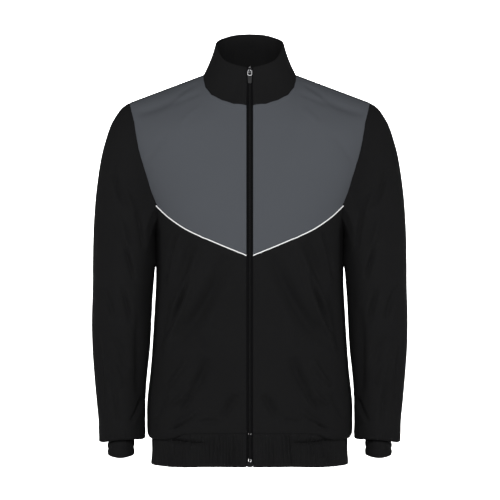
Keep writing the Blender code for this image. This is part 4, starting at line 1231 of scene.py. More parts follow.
    def gathers(self, rise: Array) -> Array:
        """Pleats that fan up from the cuff, uneven in width, height and reach.

        Args:
            rise: Height of each point above the cuff seam.

        Returns:
            How far each point stands out.
        """
        draw = random.Random(self.gather_seed)
        place, count = self.angle / (2 * np.pi), self.gather_count
        out = np.zeros_like(rise)
        for number in range(count):
            middle = (number + draw.uniform(-0.3, 0.3)) / count
            reach = draw.uniform(9, 30) * MM
            lean = draw.uniform(-0.35, 0.35) / count
            height = draw.uniform(0.8, 2.1) * MM
            width = draw.uniform(0.22, 0.34) / count
            away = (place - middle - lean * rise / reach + 0.5) % 1 - 0.5
            fade = np.clip(1 - rise / reach, 0, 1) ** 1.3 * smooth_step(rise, -1 * MM, 2 * MM)
            out += height * fade * (bump(away, width) - 0.5 / count)
        return out


# --- collar, hem band and cuffs


@dataclass
class Collar:
    """Stand collar, from the neckline up to its folded top edge."""

    seams: Seams
    cuts: int = 9
    rows: int = 34
    sag: float = 2 * MM
    edge_rows: tuple[float, ...] = (0.004, 0.01, 0.018, 0.99, 0.996)
    slack: float = 0.5 * MM
    slack_size: float = 30 * MM
    stitch_dent: float = 0.28 * MM
    stitch_width: float = 1.1 * MM
    dent_until_y: float = -20 * MM
    seam_roll: float = 0.3 * MM
    seam_roll_at: float = 0.085
    seam_roll_width: float = 0.022

    # upright hollows: x, lean, width and depth
    hollows: tuple[tuple[float, ...], ...] = (
        (-27, 7, 9, -1.3), (31, -6, 10, -1.4), (-44, 5, 6, -1.0), (47, -5, 6, -0.9), (14, 3, 6, -0.5))

    # x, y, z of the top edge from the zip to the centre back
    top_edge: tuple[tuple[float, float, float], ...] = (
        (5, -62, 12.8), (30, -60, 19), (47, -51, 27.5), (57, -35, 41), (62, -10, 56),
        (62, 15, 64.5), (51, 42, 72.5), (28, 58, 79.5), (0, 62, 81.7))

    def neckline(self) -> Array:
        """Neck seam from the zip on the left, round the back, to the zip on the right.

        Returns:
            Points, in order.
        """
        front, back = self.seams.front_neck(), self.seams.back_neck()[::-1]
        ahead = self.seams.figure.cloth(at_ticks(front, edge_ticks(NECK_COLUMNS, self.cuts)))
        ahead = np.delete(ahead, slice(-1 - len(NEAR_EDGE), -1), axis=0)
        behind = self.seams.on_cloth(back, self.cuts)
        behind[-1, 0] = 0
        return both_sides(np.vstack([ahead, behind[1:]]))

    def outside(self) -> Array:
        """Outside of the collar.

        Returns:
            Grid with its rows upwards.
        """
        base = self.neckline()
        edge = rounded_path(np.array(self.top_edge) * MM, 200)
        loop = both_sides(edge)
        run, along = run_length(loop), run_length(base)
        top = along_path(loop, run, along / along[-1] * run[-1])
        rise = shares(self.rows, *self.edge_rows)[:, None, None]
        inward = -unit(base * np.array([1, 1, 0]))
        grid = base + (top - base) * rise + inward * self.sag * np.sin(np.pi * rise)
        return grid + grid_normals(grid, False) * self.creases(grid)[..., None]

    def creases(self, grid: Array) -> Array:
        """Slack of the collar: soft upright hollows, and a dent along the zip's stitching.

        Args:
            grid: Points of the collar's outside.

        Returns:
            How far each point moves out.
        """
        x = grid[..., 0]
        low, high = grid[0][None, :, 2], grid[-1][None, :, 2]
        share = (grid[..., 2] - low) / (high - low)
        middle = np.sin(np.pi * np.clip(share, 0, 1))
        out = np.zeros_like(x)
        for place, lean, width, depth in self.hollows:
            away = x - (place + lean * (share - 0.5) * 2) * MM
            out += np.where(grid[..., 1] < 0, depth * MM * bump(away, width * MM) * middle, 0)
        out += self.slack * ripple(grid, self.slack_size, 8.2) * middle
        beside_zip = bump(np.abs(x) - PANEL_EDGE - EDGE_STITCH, self.stitch_width)
        out -= np.where(grid[..., 1] < self.dent_until_y, self.stitch_dent * beside_zip, 0)
        return out - self.seam_roll * bump(share - self.seam_roll_at, self.seam_roll_width)


def level_outward(ring: Array, closed: bool) -> Array:
    """Level outward directions along a ring, or along an open path seen from above."""
    run = np.roll(ring, -1, axis=0) - np.roll(ring, 1, axis=0) if closed else np.gradient(ring, axis=0)
    return unit(np.cross(run, [0, 0, 1]) * np.array([1, 1, 0]))


@dataclass
class HemBand:
    """Gathered band below the body, open at the zip."""

    seams: Seams
    cuts: int = 17
    rows: int = 19
    edge_rows: tuple[float, ...] = (0.015, 0.03, 0.96, 0.98, 0.993)
    waist: float = 1.5 * MM
    plain_sides: tuple[float, float] = (135 * MM, 168 * MM)
    plain_ends: tuple[float, float] = (7 * MM, 22 * MM)
    gather_step: float = 6.6 * MM
    gather_height: float = 3.7 * MM
    gather_seed: int = 29
    calm_share: float = 0.75
    edge_share: float = 0.2
    slack: float = 0.5 * MM
    slack_size: float = 26 * MM
    folds: tuple[Fold, ...] = ((-172, -664, -70, -672, 3, 3.4, -6.0), (-120, -690, -150, -712, 0, 4, -1.2))

    def hem(self) -> Array:
        """Hem seam from the zip on the left, round the back, to the zip on the right.

        Returns:
            Points, in order.
        """
        front = self.seams.on_cloth(self.seams.hem(-1, FRONT_COLUMNS), self.cuts)
        back = self.seams.on_cloth(self.seams.hem(1, BACK_COLUMNS), self.cuts)[::-1]
        back[-1, 0] = 0
        return both_sides(np.vstack([front, back[1:]]))

    def gathers(self, run: Array, share: Array) -> Array:
        """Gathers of the band: upright ridges of uneven height, lean and reach.

        Args:
            run: Length along the band at each column.
            share: Height of each row, from 0 at the foot to 1 at the seam.

        Returns:
            How far each point stands out, from 0 to about 1.
        """
        draw = random.Random(self.gather_seed)
        out = np.zeros((len(share), len(run)))
        place = 0.0
        while place < run[-1]:
            place += self.gather_step * draw.uniform(0.6, 1.3)
            middle, reach = draw.uniform(0.2, 0.8), draw.uniform(0.45, 1.1)
            lean, width = draw.uniform(-7, 3) * MM, draw.uniform(1.1, 2.0) * MM
            height = draw.uniform(0.35, 1.0)
            fade = bump(share - middle, reach)[:, None]
            away = run[None] - place - lean * (share[:, None] - 0.5)
            near = np.abs(away) < 4 * width
            out += np.where(near, height * fade * bump(away, width), 0)
        return out

    def outside(self) -> Array:
        """Outside of the band, rows from its foot up to the seam.

        Returns:
            Grid with its rows upwards.
        """
        top = self.hem()
        outward = level_outward(top, False)
        share = shares(self.rows, *self.edge_rows)
        plain = standing_rows(top, band_foot(top[:, 0]), share)
        flare = self.waist * (1 - share - 4 * share * (1 - share))
        run = run_length(top)
        x, behind = np.abs(top[:, 0]), top[:, 1] > 0
        calm = 1 - self.calm_share * smooth_step(x, *self.plain_sides)
        calm = calm * np.where(behind, 1, smooth_step(x, *self.plain_ends))
        edge = smooth_step(share, 0, 0.06) * (1 - smooth_step(share, 0.93, 1.0))
        edge = (edge * (1 - self.edge_share) + self.edge_share)[:, None]
        standing = self.gathers(run, share) * calm * edge * self.gather_height
        trough = np.where(behind, 0, fold_depth(self.folds, -x, plain[..., 2])) * edge
        grid = plain + outward * (flare[:, None] + standing + trough)[..., None]
        soft = self.slack * ripple(grid, self.slack_size, 5.5) * edge
        return grid + outward * soft[..., None]


@dataclass
class Cuff:
    """Gathered cuff with one line of stitching round its middle."""

    sleeve: Sleeve
    columns: int = 216
    rows: int = 21
    edge_rows: tuple[float, ...] = (0.02, 0.05, 0.95, 0.98)
    foot_z: float = -700 * MM
    foot_arch: float = 4.2 * MM
    swell: float = 0.9 * MM
    gather_seed: int = 5
    gather_count: int = 34

    def outside(self) -> Array:
        """Outside of the left cuff, rows from its foot up to the seam.

        Returns:
            Grid with its rows upwards.
        """
        angle = np.linspace(0, 2 * np.pi, self.columns, endpoint=False)
        top = self.sleeve.cuff_seam(angle)
        outward = level_outward(top, True)
        share = shares(self.rows, *self.edge_rows)
        plain = standing_rows(top, self.foot_z - self.foot_arch * np.sin(angle) ** 2, share)
        halves = np.abs(np.sin(2 * np.pi * share)) ** 0.6
        draw, count = random.Random(self.gather_seed), self.gather_count
        waves = np.zeros((len(share), self.columns))
        for number in range(count):
            middle = (number + draw.uniform(-0.3, 0.3)) / count
            lean, height = draw.uniform(-0.4, 0.4) / count, draw.uniform(0.2, 0.9) * MM
            away = (angle[None] / (2 * np.pi) - middle - lean * share[:, None] + 0.5) % 1 - 0.5
            waves += height * bump(away, 0.27 / count)
        return plain + outward * ((self.swell + waves) * halves[:, None])[..., None]


# --- zip


@dataclass
class ZipLine:
    """Line of the left front's zip edge, from the hem band's foot to the collar's top edge."""

    points: Array
    across: Array
    outward: Array
    depth: Array

    @classmethod
    def along(cls, pieces: list[tuple[Array, float]]) -> ZipLine:
        """Joins the zip edges of the pieces.

        Args:
            pieces: Outside grid and cloth of each piece, from the bottom up.

        Returns:
            The line, with one point where two pieces meet.
        """
        points, across, outward, depth = [], [], [], []
        for grid, cloth in pieces:
            far = int(np.argmax(grid[len(grid) // 2, :, 0] > PANEL_EDGE + 7 * MM))
            normals = grid_normals(grid, False)
            for row in range(0, len(grid), 2):
                here = grid[row, 0]
                if points and np.linalg.norm(here - points[-1]) < 2 * MM:
                    depth[-1] = max(depth[-1], cloth + TAPE_GAP)
                    continue
                points.append(here)
                across.append(unit(grid[row, far] - here))
                outward.append(normals[row, far // 2])
                depth.append(cloth + TAPE_GAP)
        points[-1] = pieces[-1][0][-1, 0]
        return cls(np.array(points), np.array(across), np.array(outward), np.array(depth))

    def between(self, low: float, high: float, step: float = 6 * MM) -> list[Array]:
        """The line's points, ways across, outward ways and depths, in steps between two heights.

        Args:
            low: Lowest height.
            high: Highest height.
            step: Height of one step, about.

        Returns:
            Four tables, with a row for each step.
        """
        z = self.points[:, 2]
        wanted = np.linspace(low, high, max(2, int((high - low) / step)))
        rows = [along_path(values, z, wanted) for values in (self.points, self.across, self.outward)]
        return [*rows, np.interp(wanted, z, self.depth)]

    def strip(self, offsets: Array, low: float, high: float, lift: float) -> Array:
        """Grid of a strip behind the zip edges.

        Args:
            offsets: Distances from the zip's centre line.
            low: Lowest height.
            high: Highest height.
            lift: How far it stands out from the front of the tape.

        Returns:
            Points of the strip's front.
        """
        points, across, outward, depth = self.between(low, high)
        columns = []
        for offset in offsets:
            if offset > PANEL_EDGE:
                columns.append(points + across * ((offset - points[:, 0]) / across[:, 0])[:, None])
            else:
                columns.append(points * np.array([0, 1, 1]) + np.array([offset, 0, 0]))
        return np.stack(columns, axis=1) - outward[:, None] * (depth - lift)[:, None, None]


class RepeatAlong:
    """Geometry Nodes tree that repeats a small unit along a path and makes it one mesh."""

    def __init__(self, name: str) -> None:
        """Builds the tree.

        Args:
            name: Name of the node group.
        """
        tree = bpy.data.node_groups.new(name, "GeometryNodeTree")
        face = tree.interface
        face.new_socket("Path", in_out="INPUT", socket_type="NodeSocketGeometry")
        self.spacing, self.unit, self.finish = (
            face.new_socket(word, in_out="INPUT", socket_type="NodeSocket" + kind).identifier
            for word, kind in (("Spacing", "Float"), ("Unit", "Object"), ("Finish", "Material")))
        face.new_socket("Pieces", in_out="OUTPUT", socket_type="NodeSocketGeometry")
        given, result = tree.nodes.new("NodeGroupInput"), tree.nodes.new("NodeGroupOutput")
        curve = tree.nodes.new("GeometryNodeMeshToCurve")
        steps = tree.nodes.new("GeometryNodeResampleCurve")
        steps.mode = "LENGTH"
        along = tree.nodes.new("GeometryNodeInputTangent")
        outward = tree.nodes.new("GeometryNodeInputNamedAttribute")
        outward.data_type = "FLOAT_VECTOR"
        outward.inputs["Name"].default_value = "outward"
        turned = tree.nodes.new("FunctionNodeAxesToRotation")
        turned.primary_axis, turned.secondary_axis = "Z", "Y"
        thing = tree.nodes.new("GeometryNodeObjectInfo")
        placed = tree.nodes.new("GeometryNodeInstanceOnPoints")
        real = tree.nodes.new("GeometryNodeRealizeInstances")
        painted = tree.nodes.new("GeometryNodeSetMaterial")
        for source, sink in (
                (given.outputs["Path"], curve.inputs["Mesh"]),
                (curve.outputs["Curve"], steps.inputs["Curve"]),
                (given.outputs["Spacing"], steps.inputs["Length"]),
                (along.outputs["Tangent"], turned.inputs["Primary Axis"]),
                (outward.outputs["Attribute"], turned.inputs["Secondary Axis"]),
                (given.outputs["Unit"], thing.inputs["Object"]),
                (steps.outputs["Curve"], placed.inputs["Points"]),
                (thing.outputs["Geometry"], placed.inputs["Instance"]),
                (turned.outputs["Rotation"], placed.inputs["Rotation"]),
                (placed.outputs["Instances"], real.inputs["Geometry"]),
                (real.outputs["Geometry"], painted.inputs["Geometry"]),
                (given.outputs["Finish"], painted.inputs["Material"]),
                (painted.outputs["Geometry"], result.inputs["Pieces"])):
            tree.links.new(source, sink)
        self.tree = tree

    def run(self, name: str, paths: list[tuple[Array, Array]], spacing: float,
            thing: Thing, finish: Finish) -> Thing:
        """Repeats a unit along paths and bakes the result.

        Args:
            name: Name of the piece.
            paths: Points of each path, with their outward directions.
            spacing: Distance between two units.
            thing: The unit, with +Z along the path and +Y outward.
            finish: Material of the units.

        Returns:
            The finished piece.
        """
        mesh = bpy.data.meshes.new(name)
        points = np.vstack([path for path, _ in paths])
        edges, start = [], 0
        for path, _ in paths:
            edges += [(start + i, start + i + 1) for i in range(len(path) - 1)]
            start += len(path)
        mesh.from_pydata(points.tolist(), edges, [])
        layer = mesh.attributes.new("outward", "FLOAT_VECTOR", "POINT")
        layer.data.foreach_set("vector", np.vstack([way for _, way in paths]).astype(np.float32).ravel())
        maker = add_object(name + "_path", mesh)
        modifier = maker.modifiers.new("repeat", "NODES")
        modifier.node_group = self.tree
        modifier[self.spacing], modifier[self.unit], modifier[self.finish] = spacing, thing, finish
        return add_object(name, baked(maker, name))


def bent_bar(name: str, path: list[tuple[float, float, float]], radius: float) -> Thing:
    """Small round bar through a few points, tapered at both ends, for repeating.

    Args:
        name: Name of the object.
        path: Points of its centre line, in millimetres.
        radius: Radius, in metres.

    Returns:
        The bar, hidden from the render.
    """
    line, sides = np.array(path) * MM, BAR_SIDES
    run = unit(np.gradient(line, axis=0))
    upright = abs(run[0][2]) >= 0.7
    aside = unit(np.cross(run, (1.0, 0.1, 0.1) if upright else (0.13, 0.2, 0.97)))
    up = np.cross(run, aside)
    turn = np.linspace(0, 2 * np.pi, sides, endpoint=False)
    size = np.full(len(line), radius)
    size[[0, -1]] *= BAR_TAPER
    circle = aside[:, None] * np.cos(turn)[None, :, None] + up[:, None] * np.sin(turn)[None, :, None]
    points = (line[:, None] + circle * size[:, None, None]).reshape(-1, 3)
    faces = []
    for i in range(len(line) - 1):
        for j in range(sides):
            k = (j + 1) % sides
            faces.append((i * sides + j, i * sides + k, (i + 1) * sides + k, (i + 1) * sides + j))
    last = (len(line) - 1) * sides
    faces.append(tuple(reversed(range(sides))))
    faces.append(tuple(last + j for j in range(sides)))
    bar = make_object(name, points, faces)
    face_outward(bar.data)
    bar.hide_render = True
    return bar


class Edge(Enum):
    """Edge of a grid, as seen from outside."""

    LEFT = "left"
    TOP = "top"


def line_inside(grid: Array, edge: Edge, distance: float) -> tuple[Array, Array]:
    """Line on a piece at an even distance from one of its edges.

    Args:
        grid: Outside of the piece.
        edge: The edge.
        distance: Distance from the edge, along the cloth.

    Returns:
        Points of the line and their outward directions.
    """
    normals = grid_normals(grid, False)
    if edge is Edge.TOP:
        grid, normals = np.swapaxes(grid, 0, 1)[:, ::-1], np.swapaxes(normals, 0, 1)[:, ::-1]
    points, ways = [], []
    for row, way in zip(grid, normals):
        run = run_length(row)
        points.append(along_path(row, run, distance))
        ways.append(unit(along_path(way, run, distance)))
    return np.array(points), np.array(ways)


def hem_line(seams: Seams, z: float) -> tuple[Array, Array]:
    """Level line on the left front just above the hem seam, as line_inside gives it."""
    x = np.linspace(PANEL_EDGE + 1.5 * MM, 165 * MM, 90)
    places = seams.figure.place(x, np.full_like(x, z), -1)
    return seams.figure.cloth(places), seams.figure.normal(places[:, 0], places[:, 1])


@dataclass
class Zip:
    """Tapes and coils, and the place of the slider on them."""

    line: ZipLine
    tape_foot: float = -713.5 * MM
    coil_foot: float = -705.5 * MM
    coil_drop: float = 2.9 * MM
    coil_pitch: float = 1.25 * MM
    wire: float = 0.36 * MM
    pull_out: float = -1.1 * MM
    pull_up: float = -1.2 * MM
    hinge: tuple[float, float, float] = (0.0, 0.0, 0.0)

    @property
    def top_z(self) -> float:
        """Height of the zip's upper end."""
        return float(self.line.points[-1][2])

    def frame(self) -> Matrix:
        """Place of the slider: its front faces -Y and the zip runs along Z."""
        rise = self.line.points[-1] - self.line.points[-2]
        turn = Matrix.Rotation(-math.atan2(rise[1], rise[2]), 4, "X")
        return Matrix.Translation(self.hinge) @ turn @ Matrix.Translation((0, -self.pull_out, -self.pull_up))

    def tape(self, side: Side) -> Thing:
        """One woven tape behind the panels' edges."""
        offsets = np.array((2.6, 3.2, 4.4, 6.2, 8.4, 10.8, 13.0)) * MM
        outer = self.line.strip(offsets, self.tape_foot, self.top_z - 0.5 * MM, 0.0)
        return Wall(f"tape_{side.label}", side.of(outer), TAPE_CLOTH, seam_dip=0, pucker=0).build()

    def coils(self, repeat: RepeatAlong, finish: Finish) -> Thing:
        """Both rows of coil turns, meshed in the middle, with the cord that they run round.

        Args:
            repeat: Tree that repeats a turn along a path.
            finish: Material of the coil.

        Returns:
            The piece.
        """
        rows, top = [], self.top_z - self.coil_drop
        for side in (1, -1):
            start = self.coil_foot + (self.coil_pitch / 2 if side < 0 else 0)
            grid = self.line.strip(np.array([0.0]), start, top, 0.0)
            outward = self.line.between(start, top)[2]
            path = [(-2.1, -0.75, -0.05), (-2.15, 0.1, -0.1), (-1.5, 0.42, 0.0), (-0.6, 0.46, 0.1),
                    (0.25, 0.3, 0.16), (0.45, -0.2, 0.16), (0.1, -0.7, 0.1)]
            turns = bent_bar("coil_turn", [(side * -x, y, z) for x, y, z in path], self.wire)
            rows.append(repeat.run(f"coil_{side}", [(grid[:, 0], outward)], self.coil_pitch, turns, finish))
            bpy.data.objects.remove(turns)
        width = np.array((-1.7, 0.0, 1.7)) * MM
        core = self.line.strip(width, self.coil_foot, top, -0.1 * MM)
        cord = Wall("coil_core", core, 0.3 * MM, seam_dip=0, pucker=0).build()
        cord.data.materials.append(finish)
        return join("zip_coils", [*rows, cord])


def join(name: str, parts: list[Thing]) -> Thing:
    """Joins plain mesh objects into one.

    Args:
        name: Name of the result.
        parts: Objects with their place in their meshes.

    Returns:
        The joined piece.
    """
    mesh = bmesh.new()
    materials = []
    for part in parts:
        start = len(mesh.faces)
        mesh.from_mesh(part.data)
        mesh.faces.ensure_lookup_table()
        for number, finish in enumerate(part.data.materials):
            if finish not in materials:
                materials.append(finish)
        shift = [materials.index(finish) for finish in part.data.materials] or [0]
        for face in mesh.faces[start:]:
            face.material_index = shift[min(face.material_index, len(shift) - 1)]
    data = bpy.data.meshes.new(name)
    mesh.to_mesh(data)
    mesh.free()
    for finish in materials:
        data.materials.append(finish)
    for part in parts:
        bpy.data.objects.remove(part)
    return add_object(name, data)


# --- finishes


class Paint:
    """Short way to build a material's nodes."""

    def __init__(self, name: str, colour: Colour, roughness: float, gloss: float) -> None:
        """Starts a Principled material of a linear colour.

        Args:
            name: Name of the material.
            colour: Base colour, linear.
            roughness: Roughness.
            gloss: Strength of the reflection, 0.5 for plain plastic.
        """
        self.colour = colour
        self.material = bpy.data.materials.new(name)
        self.material.use_nodes = True
        self.nodes = self.material.node_tree.nodes
        self.shader = self.nodes["Principled BSDF"]
        self.shader.inputs["Base Color"].default_value = (*colour, 1)
        self.shader.inputs["Roughness"].default_value = roughness
        self.shader.inputs["Specular IOR Level"].default_value = gloss
        self.material.diffuse_color = (*colour, 1)

    def add(self, kind: str, **settings: object) -> bpy.types.Node:
        """Adds a node and sets its properties and inputs.

        Args:
            kind: Type of the node.
            settings: Properties and inputs by name.

        Returns:
            The node.
        """
        node = self.nodes.new(kind)
        for key, value in settings.items():
            if hasattr(node, key):
                setattr(node, key, value)
            else:
                node.inputs[key].default_value = value
        return node

    def link(self, source: Socket, sink: Socket) -> None:
        """Links two sockets."""
        self.material.node_tree.links.new(source, sink)

    def sum_of(self, operation: str, first: object, second: object = 0.0) -> Socket:
        """Result of a Math node on sockets or numbers.

        Args:
            operation: Operation of the node.
            first: Socket or number.
            second: Socket or number.

        Returns:
            The result.
        """
        node = self.add("ShaderNodeMath", operation=operation)
        for socket, value in zip(node.inputs, (first, second)):
            if isinstance(value, Socket):
                self.link(value, socket)
            else:
                socket.default_value = value
        return node.outputs[0]

    def cloth(self) -> tuple[Socket, Socket]:
        """Place on the flat cloth, in metres across and up."""
        split = self.add("ShaderNodeSeparateXYZ")
        self.link(self.add("ShaderNodeUVMap", uv_map="cloth").outputs[0], split.inputs[0])
        return split.outputs[0], split.outputs[1]

    def times(self, first: Socket, second: float | Socket) -> Socket:
        """Product of two sockets or numbers."""
        return self.sum_of("MULTIPLY", first, second)

    def noise(self, scale: float, detail: float = 2.0) -> Socket:
        """Noise on the object's own coordinates.

        Args:
            scale: Number of cells in a metre.
            detail: Number of finer layers.

        Returns:
            The noise, from 0 to 1.
        """
        place = self.add("ShaderNodeTexCoord")
        node = self.add("ShaderNodeTexNoise", Scale=scale, Detail=detail)
        self.link(place.outputs["Object"], node.inputs["Vector"])
        return node.outputs["Fac"]

    def shade(self, amount: Socket, low: float, high: float) -> None:
        """Mixes the base colour from a darker and a lighter share of it.

        Args:
            amount: Share of the lighter colour.
            low: Darker share.
            high: Lighter share.
        """
        node = self.add("ShaderNodeMix", data_type="RGBA")
        self.link(amount, node.inputs[0])
        for socket, share in ((node.inputs[6], low), (node.inputs[7], high)):
            socket.default_value = (*(value * share for value in self.colour), 1)
        self.link(node.outputs[2], self.shader.inputs["Base Color"])

    def relief(self, height: Socket, strength: float, distance: float) -> None:
        """Bump from a height."""
        node = self.add("ShaderNodeBump", Strength=strength, Distance=distance)
        self.link(height, node.inputs["Height"])
        self.link(node.outputs["Normal"], self.shader.inputs["Normal"])


@dataclass(frozen=True)
class KnitFinish:
    """Fine smooth knit: upright columns of small V-shaped loops."""

    name: str
    colour: Colour
    roughness: float = 1.0
    gloss: float = 0.08
    column: float = 0.95 * MM
    course: float = 0.75 * MM
    strength: float = 0.35
    spread: float = 0.12

    def material(self) -> Finish:
        """Builds the material on the piece's flat cloth coordinates.

        Returns:
            The material.
        """
        paint = Paint(self.name, self.colour, self.roughness, self.gloss)
        u, v = paint.cloth()
        across = paint.sum_of("FRACT", paint.sum_of("DIVIDE", u, self.column))
        aside = paint.sum_of("ABSOLUTE", paint.sum_of("SUBTRACT", paint.times(across, 2.0), 1.0))
        slant = paint.sum_of("ADD", paint.sum_of("DIVIDE", v, self.course), paint.times(aside, 0.5))
        loop = paint.sum_of("SINE", paint.times(paint.sum_of("FRACT", slant), math.pi))
        crown = paint.sum_of("SUBTRACT", 1.0, paint.times(paint.sum_of("POWER", aside, 3.0), 0.8))
        yarn = paint.times(loop, crown)
        fuzz = paint.times(paint.noise(1400.0), 0.3)
        paint.relief(paint.sum_of("ADD", yarn, fuzz), self.strength, 0.3 * MM)
        # Colour: the cloth's own random tone from the low-frequency noise, plus painted shade that darkens
        # the hollows between the knit's loops and lightens their crowns, following the relief.
        tone_and_painted_shade = paint.sum_of("ADD", paint.times(yarn, 0.3), paint.times(paint.noise(9.0), 0.8))
        paint.shade(tone_and_painted_shade, 1 - self.spread, 1 + self.spread)
        return paint.material


@dataclass(frozen=True)
class TapeFinish:
    """Woven zip tape: narrow upright ribs."""

    name: str
    colour: Colour
    roughness: float = 1.0
    gloss: float = 0.05
    rib: float = 0.6 * MM

    def material(self) -> Finish:
        """Builds the material on the piece's flat cloth coordinates.

        Returns:
            The material.
        """
        paint = Paint(self.name, self.colour, self.roughness, self.gloss)
        u, v = paint.cloth()
        ribs = paint.sum_of("SINE", paint.times(u, 2 * math.pi / self.rib))
        picks = paint.sum_of("SINE", paint.times(v, 4 * math.pi / self.rib))
        weave = paint.sum_of("ADD", ribs, paint.times(picks, 0.5))
        paint.relief(weave, 0.3, 0.15 * MM)
        paint.shade(paint.noise(200.0), 0.85, 1.2)
        return paint.material


@dataclass(frozen=True)
class SmoothFinish:
    """Metal, moulded plastic, thread or piping: a fine unevenness on the object's coordinates."""

    name: str
    colour: Colour
    roughness: float
    metallic: float = 0.0
    gloss: float = 0.5
    grain: float = 900.0
    strength: float = 0.08
    spread: float = 0.08

    def material(self) -> Finish:
        """Builds the material.

        Returns:
            The material.
        """
        paint = Paint(self.name, self.colour, self.roughness, self.gloss)
        paint.shader.inputs["Metallic"].default_value = self.metallic
        speck = paint.noise(self.grain, 3.0)
        paint.relief(speck, self.strength, 0.1 * MM)
        paint.shade(speck, 1 - self.spread, 1 + self.spread)
        return paint.material


# --- hard pieces of the zip


def plate(outline: list[tuple[float, float]], front: float, back: float, soften: float) -> bmesh.types.BMesh:
    """Flat plate with rounded edges.

    Args:
        outline: x and z of its corners, in millimetres, anticlockwise as seen from ahead.
        front: y of its front, in millimetres.
        back: y of its back, in millimetres.
        soften: Radius of its edges, in millimetres.

    Returns:
        The plate, in the slider's own frame.
    """
    mesh = bmesh.new()
    ahead = [mesh.verts.new((x * MM, front * MM, z * MM)) for x, z in outline]
    behind = [mesh.verts.new((x * MM, back * MM, z * MM)) for x, z in outline]
    mesh.faces.new(ahead)
    mesh.faces.new(behind[::-1])
    for i in range(len(outline)):
        k = (i + 1) % len(outline)
        mesh.faces.new((ahead[k], ahead[i], behind[i], behind[k]))
    bmesh.ops.bevel(mesh, geom=list(mesh.edges), offset=soften * MM, segments=3, profile=0.5, affect="EDGES")
    bmesh.ops.recalc_face_normals(mesh, faces=mesh.faces)
    return mesh


def mirrored_outline(half: list[tuple[float, float]]) -> list[tuple[float, float]]:
    """Closed outline from its right half, given from the bottom up."""
    return half + [(-x, z) for x, z in reversed(half)]


def tube(name: str, path: Array, radius: float, closed: bool) -> Thing:
    """Round wire along a path, as a mesh.

    Args:
        name: Name of the piece.
        path: Its centre line.
        radius: Its radius.
        closed: Whether it is a loop.

    Returns:
        The piece.
    """
    curve = bpy.data.curves.new(name, "CURVE")
    curve.dimensions = "3D"
    curve.bevel_depth = radius
    curve.bevel_resolution = WIRE_ROUNDNESS
    curve.use_fill_caps = not closed
    spline = curve.splines.new("POLY")
    spline.points.add(len(path) - 1)
    for point, place in zip(spline.points, path):
        point.co = (*place, 1)
    spline.use_cyclic_u = closed
    maker = add_object(name + "_curve", curve)
    data = baked(maker, name)
    face_outward(data, weld=1e-6)
    data.materials.clear()
    return add_object(name, data)


def placed(name: str, meshes: list[bmesh.types.BMesh], place: Matrix) -> Thing:
    """One object from several bmeshes, with its place in its mesh.

    Args:
        name: Name of the piece.
        meshes: The bmeshes, which are freed.
        place: Where they go in the frame.

    Returns:
        The piece.
    """
    parts = []
    for number, mesh in enumerate(meshes):
        data = bpy.data.meshes.new(f"{name}_{number}")
        mesh.transform(place)
        mesh.to_mesh(data)
        mesh.free()
        data.shade_smooth()
        data.set_sharp_from_angle(angle=HARD_CREASE)
        parts.append(add_object(data.name, data))
    return join(name, parts)


